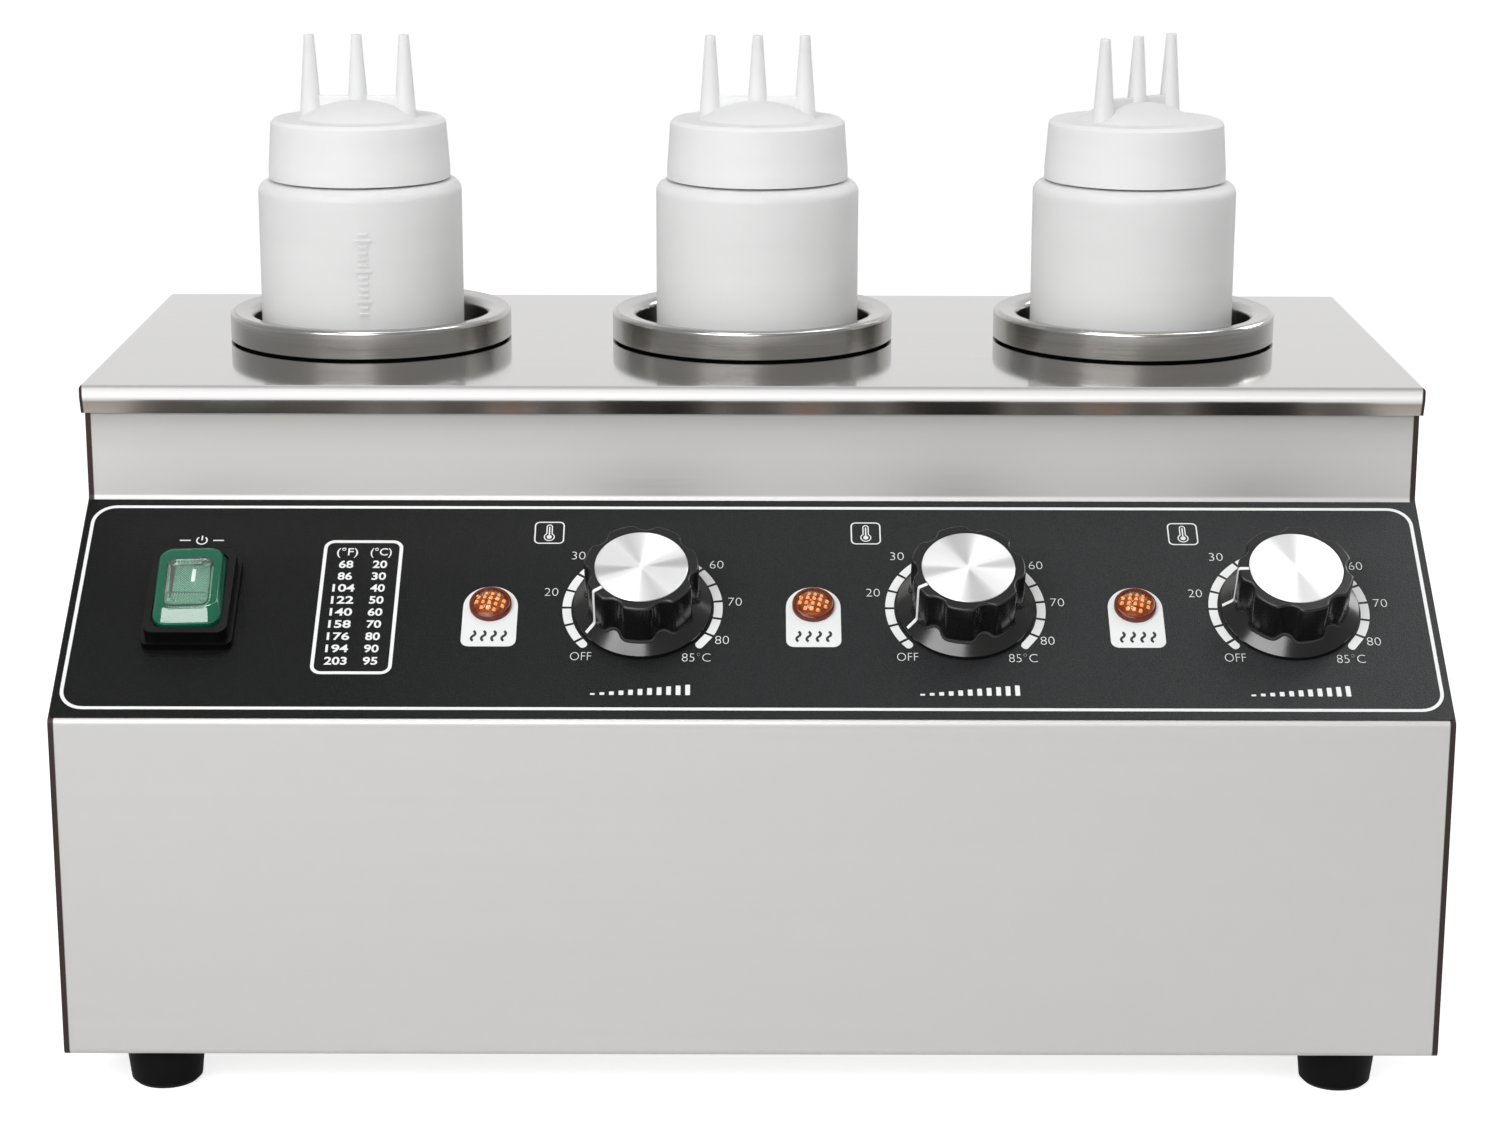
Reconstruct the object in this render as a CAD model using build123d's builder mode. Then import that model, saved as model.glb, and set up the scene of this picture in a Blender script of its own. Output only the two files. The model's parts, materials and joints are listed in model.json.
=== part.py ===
"""Three-well countertop warmer for squeeze bottles of hot fudge, sauce or topping.

Millimetres, +Z up. The origin is on the table, under the middle of the footprint,
with the cable gland at the back counted in. The control panel faces -Y.
"""
from math import atan2, cos, hypot, radians, sin
import os

from build123d import *

# ---------------------------------------------------------------- driving dimensions
WIDTH = 500.0                 # across the two side panels
DEPTH = 290.0                 # lower front face to rear panel
LOWER_FRONT_H = 127.0         # upright face below the control panel
SLOPE_RUN = 92.0              # control panel, front to back
SLOPE_RISE = 60.0             # control panel, bottom to top
BODY_H = 231.0                # housing bottom to the top cover's upper face
FOOT_H = 17.0
SHEET = 1.0                   # stainless sheet of the housing
BEND_R = 2.5                  # outside radius of the folded bends
FLANGE = 12.0                 # width of the folded-in edges
GLAND_OUT = 20.0              # how far the cable gland stands out behind

WELL_PITCH = 153.0
WELL_FROM_FRONT = 191.0
WELL_R = 46.3                 # inside of a well
WELL_DEPTH = 92.0             # well floor below the top cover's upper face
COLLAR_R = 56.0               # outside of the well's rolled collar
COLLAR_H = 12.0
COLLAR_GAP = 0.9              # open gap between the collar's edge and the cover

BOTTLE_R = 40.3
BOTTLE_SHOULDER = 155.0       # bottle's own base to its shoulder
BOTTLE_WALL = 1.4
NECK_R = 30.0
NECK_TOP = 176.0
CAP_TOP = 179.5               # edge of the cap's flat top
CAP_DOME = 186.7
CAP_WEB_TOP = 188.3            # flat top of the web that joins the nozzles
NOZZLE_TOP = 212.1
NOZZLE_PITCH = 18.7
THREAD_PITCH = 5.0
THREAD_TURNS = 1.5
BOTTLE_X = (-156.2, 1.9, 152.0)        # the bottles stand a little off centre
NOZZLE_TURN = (0.0, 0.0, 40.0)         # the third bottle is turned in its well

KNOB_X = (-40.0, 78.0, 196.3)
LAMP_X = (-95.6, 22.4, 140.1)
DIAL_S = 54.0                 # dial centres, measured up the slope
LAMP_S = 55.0
SWITCH_X = -204.5
SWITCH_S = 54.9
KNOB_POINTER = (215.5, 208.5, 181.0)   # where each pointer stands, degrees
KNOB_LOBES = 7
KNOB_R = 25.2
KNOB_BODY_R = 20.8
KNOB_H = 22.9
KNOB_FLUTE_R = 4.8            # finger flutes down the grip, and their axes' radius
KNOB_FLUTE_AT = 23.3
KNOB_SKIRT_H = 2.6            # edge of the skirt, and how steeply it rises inwards
KNOB_SKIRT_STEEP = 0.75
KNOB_GRIP_Z = 4.4             # inside the skirt, where the grip starts
OVERLAY = 0.5                 # printed panel membrane

# ---------------------------------------------------------------- worked-out places
FRONT_Y = -(DEPTH + GLAND_OUT) / 2
BACK_Y = FRONT_Y + DEPTH
BEND_LOW_Z = FOOT_H + LOWER_FRONT_H
BEND_HIGH_Z = BEND_LOW_Z + SLOPE_RISE
TOP_Z = FOOT_H + BODY_H
SHELL_TOP_Z = TOP_Z - SHEET - 0.8      # the folded edges stop just under the cover
UPPER_Y = FRONT_Y + SLOPE_RUN
WELL_Y = FRONT_Y + WELL_FROM_FRONT
WELL_FLOOR_Z = TOP_Z - WELL_DEPTH
WELL_X = (-WELL_PITCH, 0.0, WELL_PITCH)
SLOPE_LEN = hypot(SLOPE_RUN, SLOPE_RISE)
SLOPE_ANGLE = atan2(SLOPE_RISE, SLOPE_RUN)

# the control panel's plane: x across, y up the slope, z out of the panel
PANEL = Plane(origin=(0, FRONT_Y, BEND_LOW_Z), x_dir=(1, 0, 0),
              z_dir=(0, -sin(SLOPE_ANGLE), cos(SLOPE_ANGLE)))

# ---------------------------------------------------------------- holes and screws
LAMP_HOLE_R = 6.5
BUSH_HOLE_R = 5.2
SWITCH_HOLE = (27.4, 38.4)
THERMOSTAT_SCREW_X = 12.0     # each side of a shaft, under the knob
PANEL_SCREWS = [(x + side * THERMOSTAT_SCREW_X, DIAL_S) for x in KNOB_X for side in (-1, 1)]

FOOT_X = 216.5
FOOT_IN = 21.0                # foot centre inside the front and rear faces
FOOT_R_TOP = 14.5
FOOT_R_BOTTOM = 13.0
FOOT_SEAT_Z = 7.0             # sunk seat for the foot's screw
M5_R = 2.4
FOOT_PLACES = [(side * FOOT_X, y, 0)
               for side in (-1, 1) for y in (FRONT_Y + FOOT_IN, BACK_Y - FOOT_IN)]

EDGE_X = WIDTH / 2 - SHEET - FLANGE / 2       # middle of a folded-in edge
REAR_SCREWS = [(side * EDGE_X, z) for side in (-1, 1)
               for z in (FOOT_H + 14, FOOT_H + 112, SHELL_TOP_Z - 22)]
BASE_SCREWS = [(side * EDGE_X, y) for side in (-1, 1) for y in (FRONT_Y + 70, BACK_Y - 70)]
BASE_Z = FOOT_H + SHEET       # underside of the base plate
FLOOR_Z = BASE_Z + SHEET      # its upper face

GLAND_X = 190.0
GLAND_Z = FOOT_H + 34
GLAND_R = 6.0
EARTH_X = 118.0
EARTH_Y = BACK_Y - 70

os.makedirs("parts", exist_ok=True)


def save(part, name):
    """Label a finished piece and write it as its own file."""
    part.label = name
    export_step(part, f"parts/{name}.step")


def on_panel(x, s, h=0.0):
    """The control panel's plane moved: x across, s up the slope, h out of it."""
    return Plane(origin=PANEL.from_local_coords(Vector(x, s, h)), x_dir=(1, 0, 0),
                 z_dir=PANEL.z_dir)


def dome_drop(span, rise, radius):
    """How far a spherical dome has fallen from its crown at a radius."""
    ball_r = (span ** 2 + rise ** 2) / (2 * rise)
    return ball_r - (ball_r ** 2 - radius ** 2) ** 0.5


def turned(points):
    """Solid of revolution about +Z of a closed outline of (radius, height) points."""
    with BuildPart() as piece:
        with BuildSketch(Plane.XZ):
            with BuildLine():
                Polyline(*points, close=True)
            make_face()
        revolve(axis=Axis.Z)
    return piece.part


def placed(piece, places):
    """Separate copies of one piece, one at each place."""
    with BuildPart() as copies:
        with Locations(places):
            add(piece)
    return copies.part


# ================================================================ housing sheet metal
def panel_holes(clear=0.0):
    """Switch, lamp, shaft and screw holes of the control panel, grown by clear."""
    with Locations((SWITCH_X, SWITCH_S)):
        Rectangle(SWITCH_HOLE[0] + 2 * clear, SWITCH_HOLE[1] + 2 * clear)
    with Locations([(x, LAMP_S) for x in LAMP_X]):
        Circle(LAMP_HOLE_R + clear)
    with Locations([(x, DIAL_S) for x in KNOB_X]):
        Circle(BUSH_HOLE_R + clear)
    with Locations(PANEL_SCREWS):
        Circle(2.2 + clear)


def front_panel():
    """Lower front, control slope and upper front, folded from one sheet."""
    with BuildPart() as front:
        with BuildSketch(Plane.YZ):
            with BuildLine():
                FilletPolyline((FRONT_Y + FLANGE, FOOT_H), (FRONT_Y, FOOT_H),
                               (FRONT_Y, BEND_LOW_Z), (UPPER_Y, BEND_HIGH_Z),
                               (UPPER_Y, SHELL_TOP_Z), (UPPER_Y + FLANGE, SHELL_TOP_Z),
                               radius=BEND_R)
                offset(amount=SHEET, side=Side.RIGHT)
            make_face()
        extrude(amount=WIDTH / 2 - SHEET, both=True)
        with BuildSketch(PANEL.offset(SHEET)):
            panel_holes()
        extrude(amount=-3 * SHEET, mode=Mode.SUBTRACT)
    return front.part


def side_panel(sign):
    """Flat side sheet with its bottom and rear edges folded in."""
    inner_x = sign * (WIDTH / 2 - SHEET)
    edge_x = sign * EDGE_X
    edge_start = FRONT_Y + FLANGE + SHEET
    with BuildPart() as side:
        with BuildSketch(Plane.YZ.offset(inner_x)) as outline:
            with BuildLine():
                Polyline((FRONT_Y, FOOT_H), (BACK_Y - SHEET, FOOT_H),
                         (BACK_Y - SHEET, SHELL_TOP_Z), (UPPER_Y, SHELL_TOP_Z),
                         (UPPER_Y, BEND_HIGH_Z), (FRONT_Y, BEND_LOW_Z), close=True)
            make_face()
            fillet(outline.vertices(), BEND_R)
        extrude(amount=sign * SHEET)
        with BuildSketch(Plane.XY.offset(FOOT_H)):
            with Locations((edge_x, (edge_start + BACK_Y - SHEET) / 2)):
                Rectangle(FLANGE, BACK_Y - SHEET - edge_start)
        extrude(amount=SHEET)
        with BuildSketch(Plane.XZ.offset(-(BACK_Y - SHEET))):
            with Locations((edge_x, (FOOT_H + SHELL_TOP_Z) / 2)):
                Rectangle(FLANGE, SHELL_TOP_Z - FOOT_H)
        extrude(amount=SHEET)
        with BuildSketch(Plane.XZ.offset(-BACK_Y)):
            with Locations([place for place in REAR_SCREWS if place[0] * sign > 0]):
                Circle(1.8)
        extrude(amount=3 * SHEET, mode=Mode.SUBTRACT)
        with BuildSketch(Plane.XY.offset(FOOT_H)):
            with Locations([place for place in BASE_SCREWS if place[0] * sign > 0]):
                Circle(2.2)
        extrude(amount=SHEET, mode=Mode.SUBTRACT)
    return side.part


COVER_OVER = 1.2              # the cover's skirt stands outside the side and rear sheets
COVER_FRONT_OVER = 3.6        # and its rolled front edge a little further
COVER_SKIRT = 11.2
COVER_FRONT_R = 4.5
COVER_TUCK = 2.2              # how far the front edge slopes back in below the roll
COVER_TUCK_FROM = 5.2         # where it starts to, below the upper face
COVER_TUCK_R = 3.5
COVER_EDGE_R = 1.8
COVER_SCREWS = [(side * 120.0, TOP_Z - 5.6) for side in (-1, 1)]


def rear_panel():
    """Flat back sheet with a bank of vent slots behind each well."""
    with BuildPart() as rear:
        with BuildSketch(Plane.XZ.offset(-BACK_Y)):
            with Locations((0, (FOOT_H + SHELL_TOP_Z) / 2)):
                Rectangle(WIDTH - 2 * SHEET, SHELL_TOP_Z - FOOT_H)
            with Locations((0, FOOT_H + 150)):
                with GridLocations(WELL_PITCH, 11, 3, 5):
                    SlotOverall(72, 4.5, mode=Mode.SUBTRACT)
            with Locations((GLAND_X, GLAND_Z)):
                Circle(GLAND_R + 0.2, mode=Mode.SUBTRACT)
            with Locations(REAR_SCREWS + COVER_SCREWS):
                Circle(1.8, mode=Mode.SUBTRACT)
        extrude(amount=SHEET)
    return rear.part


def base_plate():
    """Bottom sheet lying on the folded-in edges, with vent slots under each well."""
    with BuildPart() as base:
        with BuildSketch(Plane.XY.offset(BASE_Z)):
            with Locations((0, (FRONT_Y + BACK_Y) / 2)):
                Rectangle(WIDTH - 2 * SHEET - 1, DEPTH - 2 * SHEET - 4)
            with Locations((0, WELL_Y)):
                with GridLocations(WELL_PITCH, 13, 3, 5):
                    SlotOverall(64, 5, mode=Mode.SUBTRACT)
            with Locations([place[:2] for place in FOOT_PLACES]):
                Circle(M5_R + 0.3, mode=Mode.SUBTRACT)
            with Locations(BASE_SCREWS):
                Circle(1.8, mode=Mode.SUBTRACT)
            with Locations((EARTH_X, EARTH_Y)):
                Circle(M5_R + 0.3, mode=Mode.SUBTRACT)
        extrude(amount=SHEET)
    return base.part


def top_cover():
    """Shallow tray turned down over the housing, with a rolled front and three well holes."""
    front = UPPER_Y - COVER_FRONT_OVER
    back = BACK_Y + COVER_OVER
    with BuildPart() as cover:
        with BuildSketch(Plane.YZ) as section:
            with BuildLine():
                Polyline((back, TOP_Z), (front, TOP_Z), (front, TOP_Z - COVER_TUCK_FROM),
                         (front + COVER_TUCK, TOP_Z - COVER_SKIRT),
                         (back, TOP_Z - COVER_SKIRT), close=True)
            make_face()
            corners = section.vertices().sort_by(Axis.X)[:2].sort_by(Axis.Y)
            fillet(corners[0], COVER_TUCK_R)
            fillet(corners[1], COVER_FRONT_R)
        extrude(amount=WIDTH / 2 + COVER_OVER, both=True)
        upper = cover.faces().sort_by(Axis.Z)[-1].edges()
        fillet(upper.sort_by(Axis.Y)[1:], COVER_EDGE_R)
        offset(amount=-SHEET, openings=cover.faces().sort_by(Axis.Z)[0])
        with BuildSketch(Plane.XY.offset(TOP_Z)):
            with Locations([(x, WELL_Y) for x in WELL_X]):
                Circle(WELL_R + SHEET + 1.2)
        extrude(amount=-3 * SHEET, mode=Mode.SUBTRACT)
        with BuildSketch(Plane.XZ.offset(-back)):
            with Locations(COVER_SCREWS):
                Circle(1.8)
        extrude(amount=2 * SHEET, mode=Mode.SUBTRACT)
    return cover.part


def panel_overlay():
    """Thin black membrane stuck over the whole control slope."""
    with BuildPart() as overlay:
        with BuildSketch(PANEL):
            with Locations((0, SLOPE_LEN / 2)):
                RectangleRounded(WIDTH - 1.0, SLOPE_LEN - 3.0, 1.5)
        extrude(amount=OVERLAY)
        with BuildSketch(PANEL):
            panel_holes(clear=0.2)
        extrude(amount=OVERLAY, mode=Mode.SUBTRACT)
    return overlay.part


save(front_panel(), "front_panel")
save(side_panel(-1), "left_side_panel")
save(side_panel(1), "right_side_panel")
save(rear_panel(), "rear_panel")
save(base_plate(), "base_plate")
save(top_cover(), "top_cover")
save(panel_overlay(), "panel_overlay")


# ================================================================ feet and fasteners
rubber_foot = turned([(M5_R, FOOT_H), (FOOT_R_TOP, FOOT_H), (FOOT_R_TOP, FOOT_H - 3),
                      (FOOT_R_BOTTOM, 1.5), (FOOT_R_BOTTOM - 1.5, 0), (7, 0),
                      (6.5, FOOT_SEAT_Z), (M5_R, FOOT_SEAT_Z)])
save(placed(rubber_foot, FOOT_PLACES), "rubber_feet")

# pan-head screw up through the foot, with its nut on the base plate
foot_screw = turned([(0, FOOT_SEAT_Z - 3), (3.6, FOOT_SEAT_Z - 3), (4.4, FOOT_SEAT_Z - 2),
                     (4.4, FOOT_SEAT_Z), (M5_R, FOOT_SEAT_Z), (M5_R, FLOOR_Z),
                     (4.6, FLOOR_Z), (4.6, FLOOR_Z + 3.6), (M5_R, FLOOR_Z + 3.6),
                     (M5_R, FLOOR_Z + 5), (0, FLOOR_Z + 5)])
save(placed(foot_screw, FOOT_PLACES), "foot_screws")


def pan_screws(planes, shank_r, length):
    """Cross-recess pan-head screws; each plane lies under a head and faces out."""
    with BuildPart() as screws:
        for plane in planes:
            with BuildSketch(plane):
                Circle(3.5)
            extrude(amount=2.2)
            with BuildSketch(plane):
                Circle(shank_r)
            extrude(amount=-length)
        for plane in planes:
            with BuildSketch(plane.offset(2.2)):
                Rectangle(3.8, 0.9)
                Rectangle(0.9, 3.8)
            extrude(amount=-1.1, mode=Mode.SUBTRACT)
    return screws.part


rear_planes = [Plane(origin=(x, BACK_Y, z), z_dir=(0, 1, 0)) for x, z in REAR_SCREWS]
cover_planes = [Plane(origin=(x, BACK_Y + COVER_OVER, z), z_dir=(0, 1, 0))
                for x, z in COVER_SCREWS]
base_planes = [Plane(origin=(x, y, FOOT_H), z_dir=(0, 0, -1)) for x, y in BASE_SCREWS]
save(pan_screws(rear_planes + cover_planes + base_planes, 1.7, 7), "case_screws")
save(pan_screws([on_panel(x, s, OVERLAY) for x, s in PANEL_SCREWS], 1.9, 5),
     "thermostat_screws")


# ================================================================ cable gland
def hexagon_across_flats(width):
    """A hexagon by its width across flats."""
    RegularPolygon(width / 2, 6, major_radius=False)


def cable_gland():
    """Threaded gland body through the rear panel, with its hexagon outside."""
    outside = Plane(origin=(GLAND_X, BACK_Y, GLAND_Z), z_dir=(0, 1, 0))
    with BuildPart() as gland:
        with BuildSketch(outside):
            hexagon_across_flats(19)
        extrude(amount=5)
        with BuildSketch(outside.offset(-9)):
            Circle(GLAND_R)
        extrude(amount=20)
        with BuildSketch(outside.offset(-9)):
            Circle(3.8)
        extrude(amount=20, mode=Mode.SUBTRACT)
    return gland.part


def gland_cap():
    """Domed nut that would grip the cord; its hole is open."""
    start = Plane(origin=(GLAND_X, BACK_Y + 5.2, GLAND_Z), z_dir=(0, 1, 0))
    length = GLAND_OUT - 5.2
    with BuildPart() as cap:
        with BuildSketch(start):
            Circle(8.8)
        extrude(amount=length)
        fillet(cap.faces().sort_by(Axis.Y)[-1].edges(), 3.4)
        with BuildSketch(start):
            Circle(GLAND_R + 0.2)
        extrude(amount=7, mode=Mode.SUBTRACT)
        with BuildSketch(start):
            Circle(3.8)
        extrude(amount=length, mode=Mode.SUBTRACT)
    return cap.part


def gland_nut():
    """Hexagon nut behind the rear panel."""
    inside = Plane(origin=(GLAND_X, BACK_Y - SHEET - 4, GLAND_Z), z_dir=(0, 1, 0))
    with BuildPart() as nut:
        with BuildSketch(inside):
            hexagon_across_flats(18)
            Circle(GLAND_R, mode=Mode.SUBTRACT)
        extrude(amount=4)
    return nut.part


save(cable_gland(), "cable_gland")
save(gland_cap(), "gland_cap")
save(gland_nut(), "gland_nut")

# ================================================================ wells and heating
HEATER_R = WELL_R + SHEET + 0.2
HEATER_LOW_Z = WELL_FLOOR_Z + 9
HEATER_HIGH_Z = HEATER_LOW_Z + 55
HEATER_T = 3.0
EAR_GAP = 5.0                 # between a band's two clamp ears
EAR_T = 1.6
EAR_Y = WELL_R + 8.0          # clamp bolts, from the well's axis
EAR_BOLT_R = 1.5
SLEEVE_R = (52.0, 60.0)
SLEEVE_LOW_Z = WELL_FLOOR_Z + 4
SLEEVE_HIGH_Z = TOP_Z - 12


def well():
    """Drawn stainless pot; its rim rolls up, outwards and down as a collar."""
    with BuildPart() as pot:
        with BuildSketch(Plane.XZ):
            with BuildLine():
                FilletPolyline((COLLAR_R, TOP_Z + COLLAR_GAP), (COLLAR_R, TOP_Z + COLLAR_H),
                               (WELL_R, TOP_Z + COLLAR_H - 1.2), (WELL_R, WELL_FLOOR_Z),
                               (0, WELL_FLOOR_Z), radius=[1.8, 3.5, 5.0])
                offset(amount=SHEET, side=Side.LEFT)
            make_face()
        revolve(axis=Axis.Z)
    return pot.part


def well_gasket():
    """Silicone ring that carries the collar on the cover."""
    inner = WELL_R + SHEET + 3.0
    return turned([(inner, TOP_Z), (COLLAR_R - 2.2, TOP_Z), (COLLAR_R - 2.2, TOP_Z + 9.2),
                   (inner, TOP_Z + 8.4)])


def heater_band():
    """Split band heater with two clamp ears at the back of the well."""
    middle_z = (HEATER_LOW_Z + HEATER_HIGH_Z) / 2
    with BuildPart() as split_band:
        with BuildSketch(Plane.XY.offset(HEATER_LOW_Z)):
            Circle(HEATER_R + HEATER_T)
            with Locations((0, EAR_Y - 2)):
                Rectangle(EAR_GAP + 2 * EAR_T, 10)
            with Locations((0, HEATER_R + 8)):
                Rectangle(EAR_GAP, 20, mode=Mode.SUBTRACT)
            Circle(HEATER_R, mode=Mode.SUBTRACT)
        extrude(amount=HEATER_HIGH_Z - HEATER_LOW_Z)
        with BuildSketch(Plane.YZ.offset(-EAR_GAP)):
            with Locations((EAR_Y, middle_z - 16), (EAR_Y, middle_z + 16)):
                Circle(EAR_BOLT_R)
        extrude(amount=2 * EAR_GAP, mode=Mode.SUBTRACT)
    return split_band.part


def insulation_sleeve():
    """Mineral wool sleeve, open at the back where the clamp ears are."""
    with BuildPart() as sleeve:
        with BuildSketch(Plane.XY.offset(SLEEVE_LOW_Z)):
            Circle(SLEEVE_R[1])
            Circle(SLEEVE_R[0], mode=Mode.SUBTRACT)
            with Locations((0, SLEEVE_R[1])):
                Rectangle(16, 24, mode=Mode.SUBTRACT)
        extrude(amount=SLEEVE_HIGH_Z - SLEEVE_LOW_Z)
    return sleeve.part


WELL_PLACES = [(x, WELL_Y, 0) for x in WELL_X]
well_pot = well()
band = heater_band()
for number, place in enumerate(WELL_PLACES, start=1):
    save(placed(well_pot, [place]), f"well_{number}")
    save(placed(band, [place]), f"heater_band_{number}")
save(placed(well_gasket(), WELL_PLACES), "well_gaskets")
save(placed(insulation_sleeve(), WELL_PLACES), "insulation_sleeves")


def clamp_bolts():
    """Two bolts through each band's ears, each with its head and nut."""
    middle_z = (HEATER_LOW_Z + HEATER_HIGH_Z) / 2
    head_x = EAR_GAP / 2 + EAR_T
    ear_y = WELL_Y + EAR_Y
    with BuildPart() as bolts:
        for x in WELL_X:
            for z in (middle_z - 16, middle_z + 16):
                with BuildSketch(Plane(origin=(x - head_x - 2, ear_y, z), z_dir=(1, 0, 0))):
                    Circle(2.2)
                extrude(amount=2)
                with BuildSketch(Plane(origin=(x + head_x, ear_y, z), z_dir=(1, 0, 0))):
                    hexagon_across_flats(4.4)
                extrude(amount=2)
                with BuildSketch(Plane(origin=(x - head_x, ear_y, z), z_dir=(1, 0, 0))):
                    Circle(EAR_BOLT_R)
                extrude(amount=2 * head_x + 3)
    return bolts.part


save(clamp_bolts(), "clamp_bolts")


# ================================================================ thermostats and knobs
SHAFT_R = 3.0
BUSH_TOP = 1.4
BULB_R = 2.5
BULB_LEN = 60.0
BULB_Z = WELL_FLOOR_Z - SHEET - BULB_R - 0.6


def thermostat(x):
    """Capillary thermostat: bracket plate, body and threaded bush for the shaft."""
    behind = -SHEET - 0.1
    with BuildPart() as unit:
        with BuildSketch(on_panel(x, DIAL_S, behind)):
            RectangleRounded(38, 26, 3)
        extrude(amount=-1.5)
        with BuildSketch(on_panel(x, DIAL_S, behind - 1.5)):
            RectangleRounded(34, 44, 2)
        extrude(amount=-24)
        with BuildSketch(on_panel(x, DIAL_S, behind)):
            Circle(BUSH_HOLE_R - 0.2)
        extrude(amount=BUSH_TOP - behind)
        with BuildSketch(on_panel(x, DIAL_S, BUSH_TOP)):
            Circle(SHAFT_R + 0.05)
        extrude(amount=-12, mode=Mode.SUBTRACT)
        with BuildSketch(on_panel(x, DIAL_S, behind)):
            with Locations((-THERMOSTAT_SCREW_X, 0), (THERMOSTAT_SCREW_X, 0)):
                Circle(2.0)
        extrude(amount=-5, mode=Mode.SUBTRACT)
        with BuildSketch(on_panel(x, DIAL_S, behind - 25.5)):
            with Locations((8, 12), (8, -12)):
                Rectangle(6.3, 0.8)
        extrude(amount=-8)
    return unit.part


def thermostat_shaft(x):
    """Shaft with a flat, from inside the bush to the knob's hub."""
    with BuildPart() as shaft:
        with BuildSketch(on_panel(x, DIAL_S, -8)):
            Circle(SHAFT_R)
        extrude(amount=25)
        with BuildSketch(on_panel(x, DIAL_S, 5)):
            with Locations((0, SHAFT_R)):
                Rectangle(2 * SHAFT_R, 1.8)
        extrude(amount=13, mode=Mode.SUBTRACT)
    return shaft.part


def knob(x, pointer):
    """Skirted knob with seven finger flutes, hollow below, and a seat for its disc."""
    neck = KNOB_FLUTE_AT - KNOB_FLUTE_R - 1
    neck_h = KNOB_SKIRT_H + (KNOB_R - neck) * KNOB_SKIRT_STEEP
    with BuildPart() as body:
        with BuildSketch(Plane.XY.offset(KNOB_GRIP_Z)) as grip:
            Circle(KNOB_BODY_R)
            with PolarLocations(KNOB_FLUTE_AT, KNOB_LOBES, start_angle=180 / KNOB_LOBES):
                Circle(KNOB_FLUTE_R, mode=Mode.SUBTRACT)
            fillet(grip.vertices(), KNOB_FLUTE_R / 2)
        extrude(amount=KNOB_H - KNOB_GRIP_Z)
        fillet(body.edges().group_by(Axis.Z)[-1], 0.7)
        with BuildSketch(Plane.XZ):
            with BuildLine():
                Polyline((0, 1.3), (KNOB_R, 1.3), (KNOB_R, KNOB_SKIRT_H), (neck, neck_h),
                         (0, neck_h), close=True)
            make_face()
        revolve(axis=Axis.Z)
        fillet(body.edges().filter_by_position(Axis.Z, KNOB_GRIP_Z, neck_h + 1), 2.0)
        with BuildSketch(Plane.XY.offset(KNOB_H)):
            Circle(17.1)
        extrude(amount=-0.9, mode=Mode.SUBTRACT)
        with BuildSketch(Plane.XY.offset(1.3)):
            Circle(16.4)
            Circle(6.5, mode=Mode.SUBTRACT)
        extrude(amount=17, mode=Mode.SUBTRACT)
        with BuildSketch(Plane.XY.offset(1.3)):
            Circle(SHAFT_R + 0.02)
        extrude(amount=16.5, mode=Mode.SUBTRACT)
        with BuildSketch(Plane.XY.offset(1.3)):
            Circle(6.6)
        extrude(amount=0.8, mode=Mode.SUBTRACT)
    with BuildPart() as fitted:
        with Locations(on_panel(x, DIAL_S).location * Location((0, 0, 0), (0, 0, pointer))):
            add(body.part)
    return fitted.part


def knob_disc(x):
    """Spun aluminium disc let into the knob's top."""
    with BuildPart() as disc:
        with BuildSketch(on_panel(x, DIAL_S, KNOB_H - 0.9)):
            Circle(16.9)
        extrude(amount=1.0)
        fillet(disc.edges().group_by(Axis(PANEL.origin, PANEL.z_dir))[-1], 0.2)
    return disc.part


for number, (x, pointer) in enumerate(zip(KNOB_X, KNOB_POINTER), start=1):
    save(thermostat(x), f"thermostat_{number}")
    save(thermostat_shaft(x), f"thermostat_shaft_{number}")
    save(knob(x, pointer), f"knob_{number}")
    save(knob_disc(x), f"knob_disc_{number}")


def sensing_bulb(well_x, knob_x):
    """Bulb clipped under a well, with its capillary tube back to the thermostat."""
    start = (well_x - BULB_LEN / 2, WELL_Y, BULB_Z)
    port = on_panel(knob_x - 10, DIAL_S, -SHEET - 27).origin
    with BuildPart() as bulb:
        with BuildSketch(Plane(origin=start, z_dir=(1, 0, 0))):
            Circle(BULB_R)
        extrude(amount=BULB_LEN)
        with BuildLine() as route:
            FilletPolyline((well_x + BULB_LEN / 2, WELL_Y, BULB_Z),
                           (well_x + 44, WELL_Y, BULB_Z), (well_x + 54, WELL_Y - 20, 132),
                           (well_x + 44, -14, 100), (knob_x - 10, port.Y + 16, 106),
                           (knob_x - 10, port.Y, port.Z), radius=8)
        with BuildSketch(Plane(origin=route.line @ 0, z_dir=route.line % 0)):
            Circle(0.9)
        sweep(path=route.line)
    return bulb.part


for number, (well_x, knob_x) in enumerate(zip(WELL_X, KNOB_X), start=1):
    save(sensing_bulb(well_x, knob_x), f"sensing_bulb_{number}")

# ================================================================ pilot lamps
LENS_R = 7.75
BARREL_R = 6.2
BARREL_LEN = 24.0


def pilot_lens(x):
    """Domed amber lens with a flat rim on the panel and a hollow inside."""
    dome_r = LENS_R - 1.1
    rim = OVERLAY + 2.2
    crown = rim + 3.2
    with BuildPart() as lens:
        with BuildSketch(Plane.XZ):
            with BuildLine():
                Polyline((4.6, OVERLAY), (LENS_R, OVERLAY), (LENS_R, OVERLAY + 1.6),
                         (LENS_R - 0.6, rim), (dome_r, rim))
                ThreePointArc((dome_r, rim), (4, crown - dome_drop(dome_r, crown - rim, 4)),
                              (0, crown))
                Polyline((0, crown), (0, crown - 1.6), (4.6, OVERLAY + 2.6), (4.6, OVERLAY))
            make_face()
        revolve(axis=Axis.Z)
    with BuildPart() as fitted:
        with Locations(on_panel(x, LAMP_S).location):
            add(lens.part)
    return fitted.part


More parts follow.
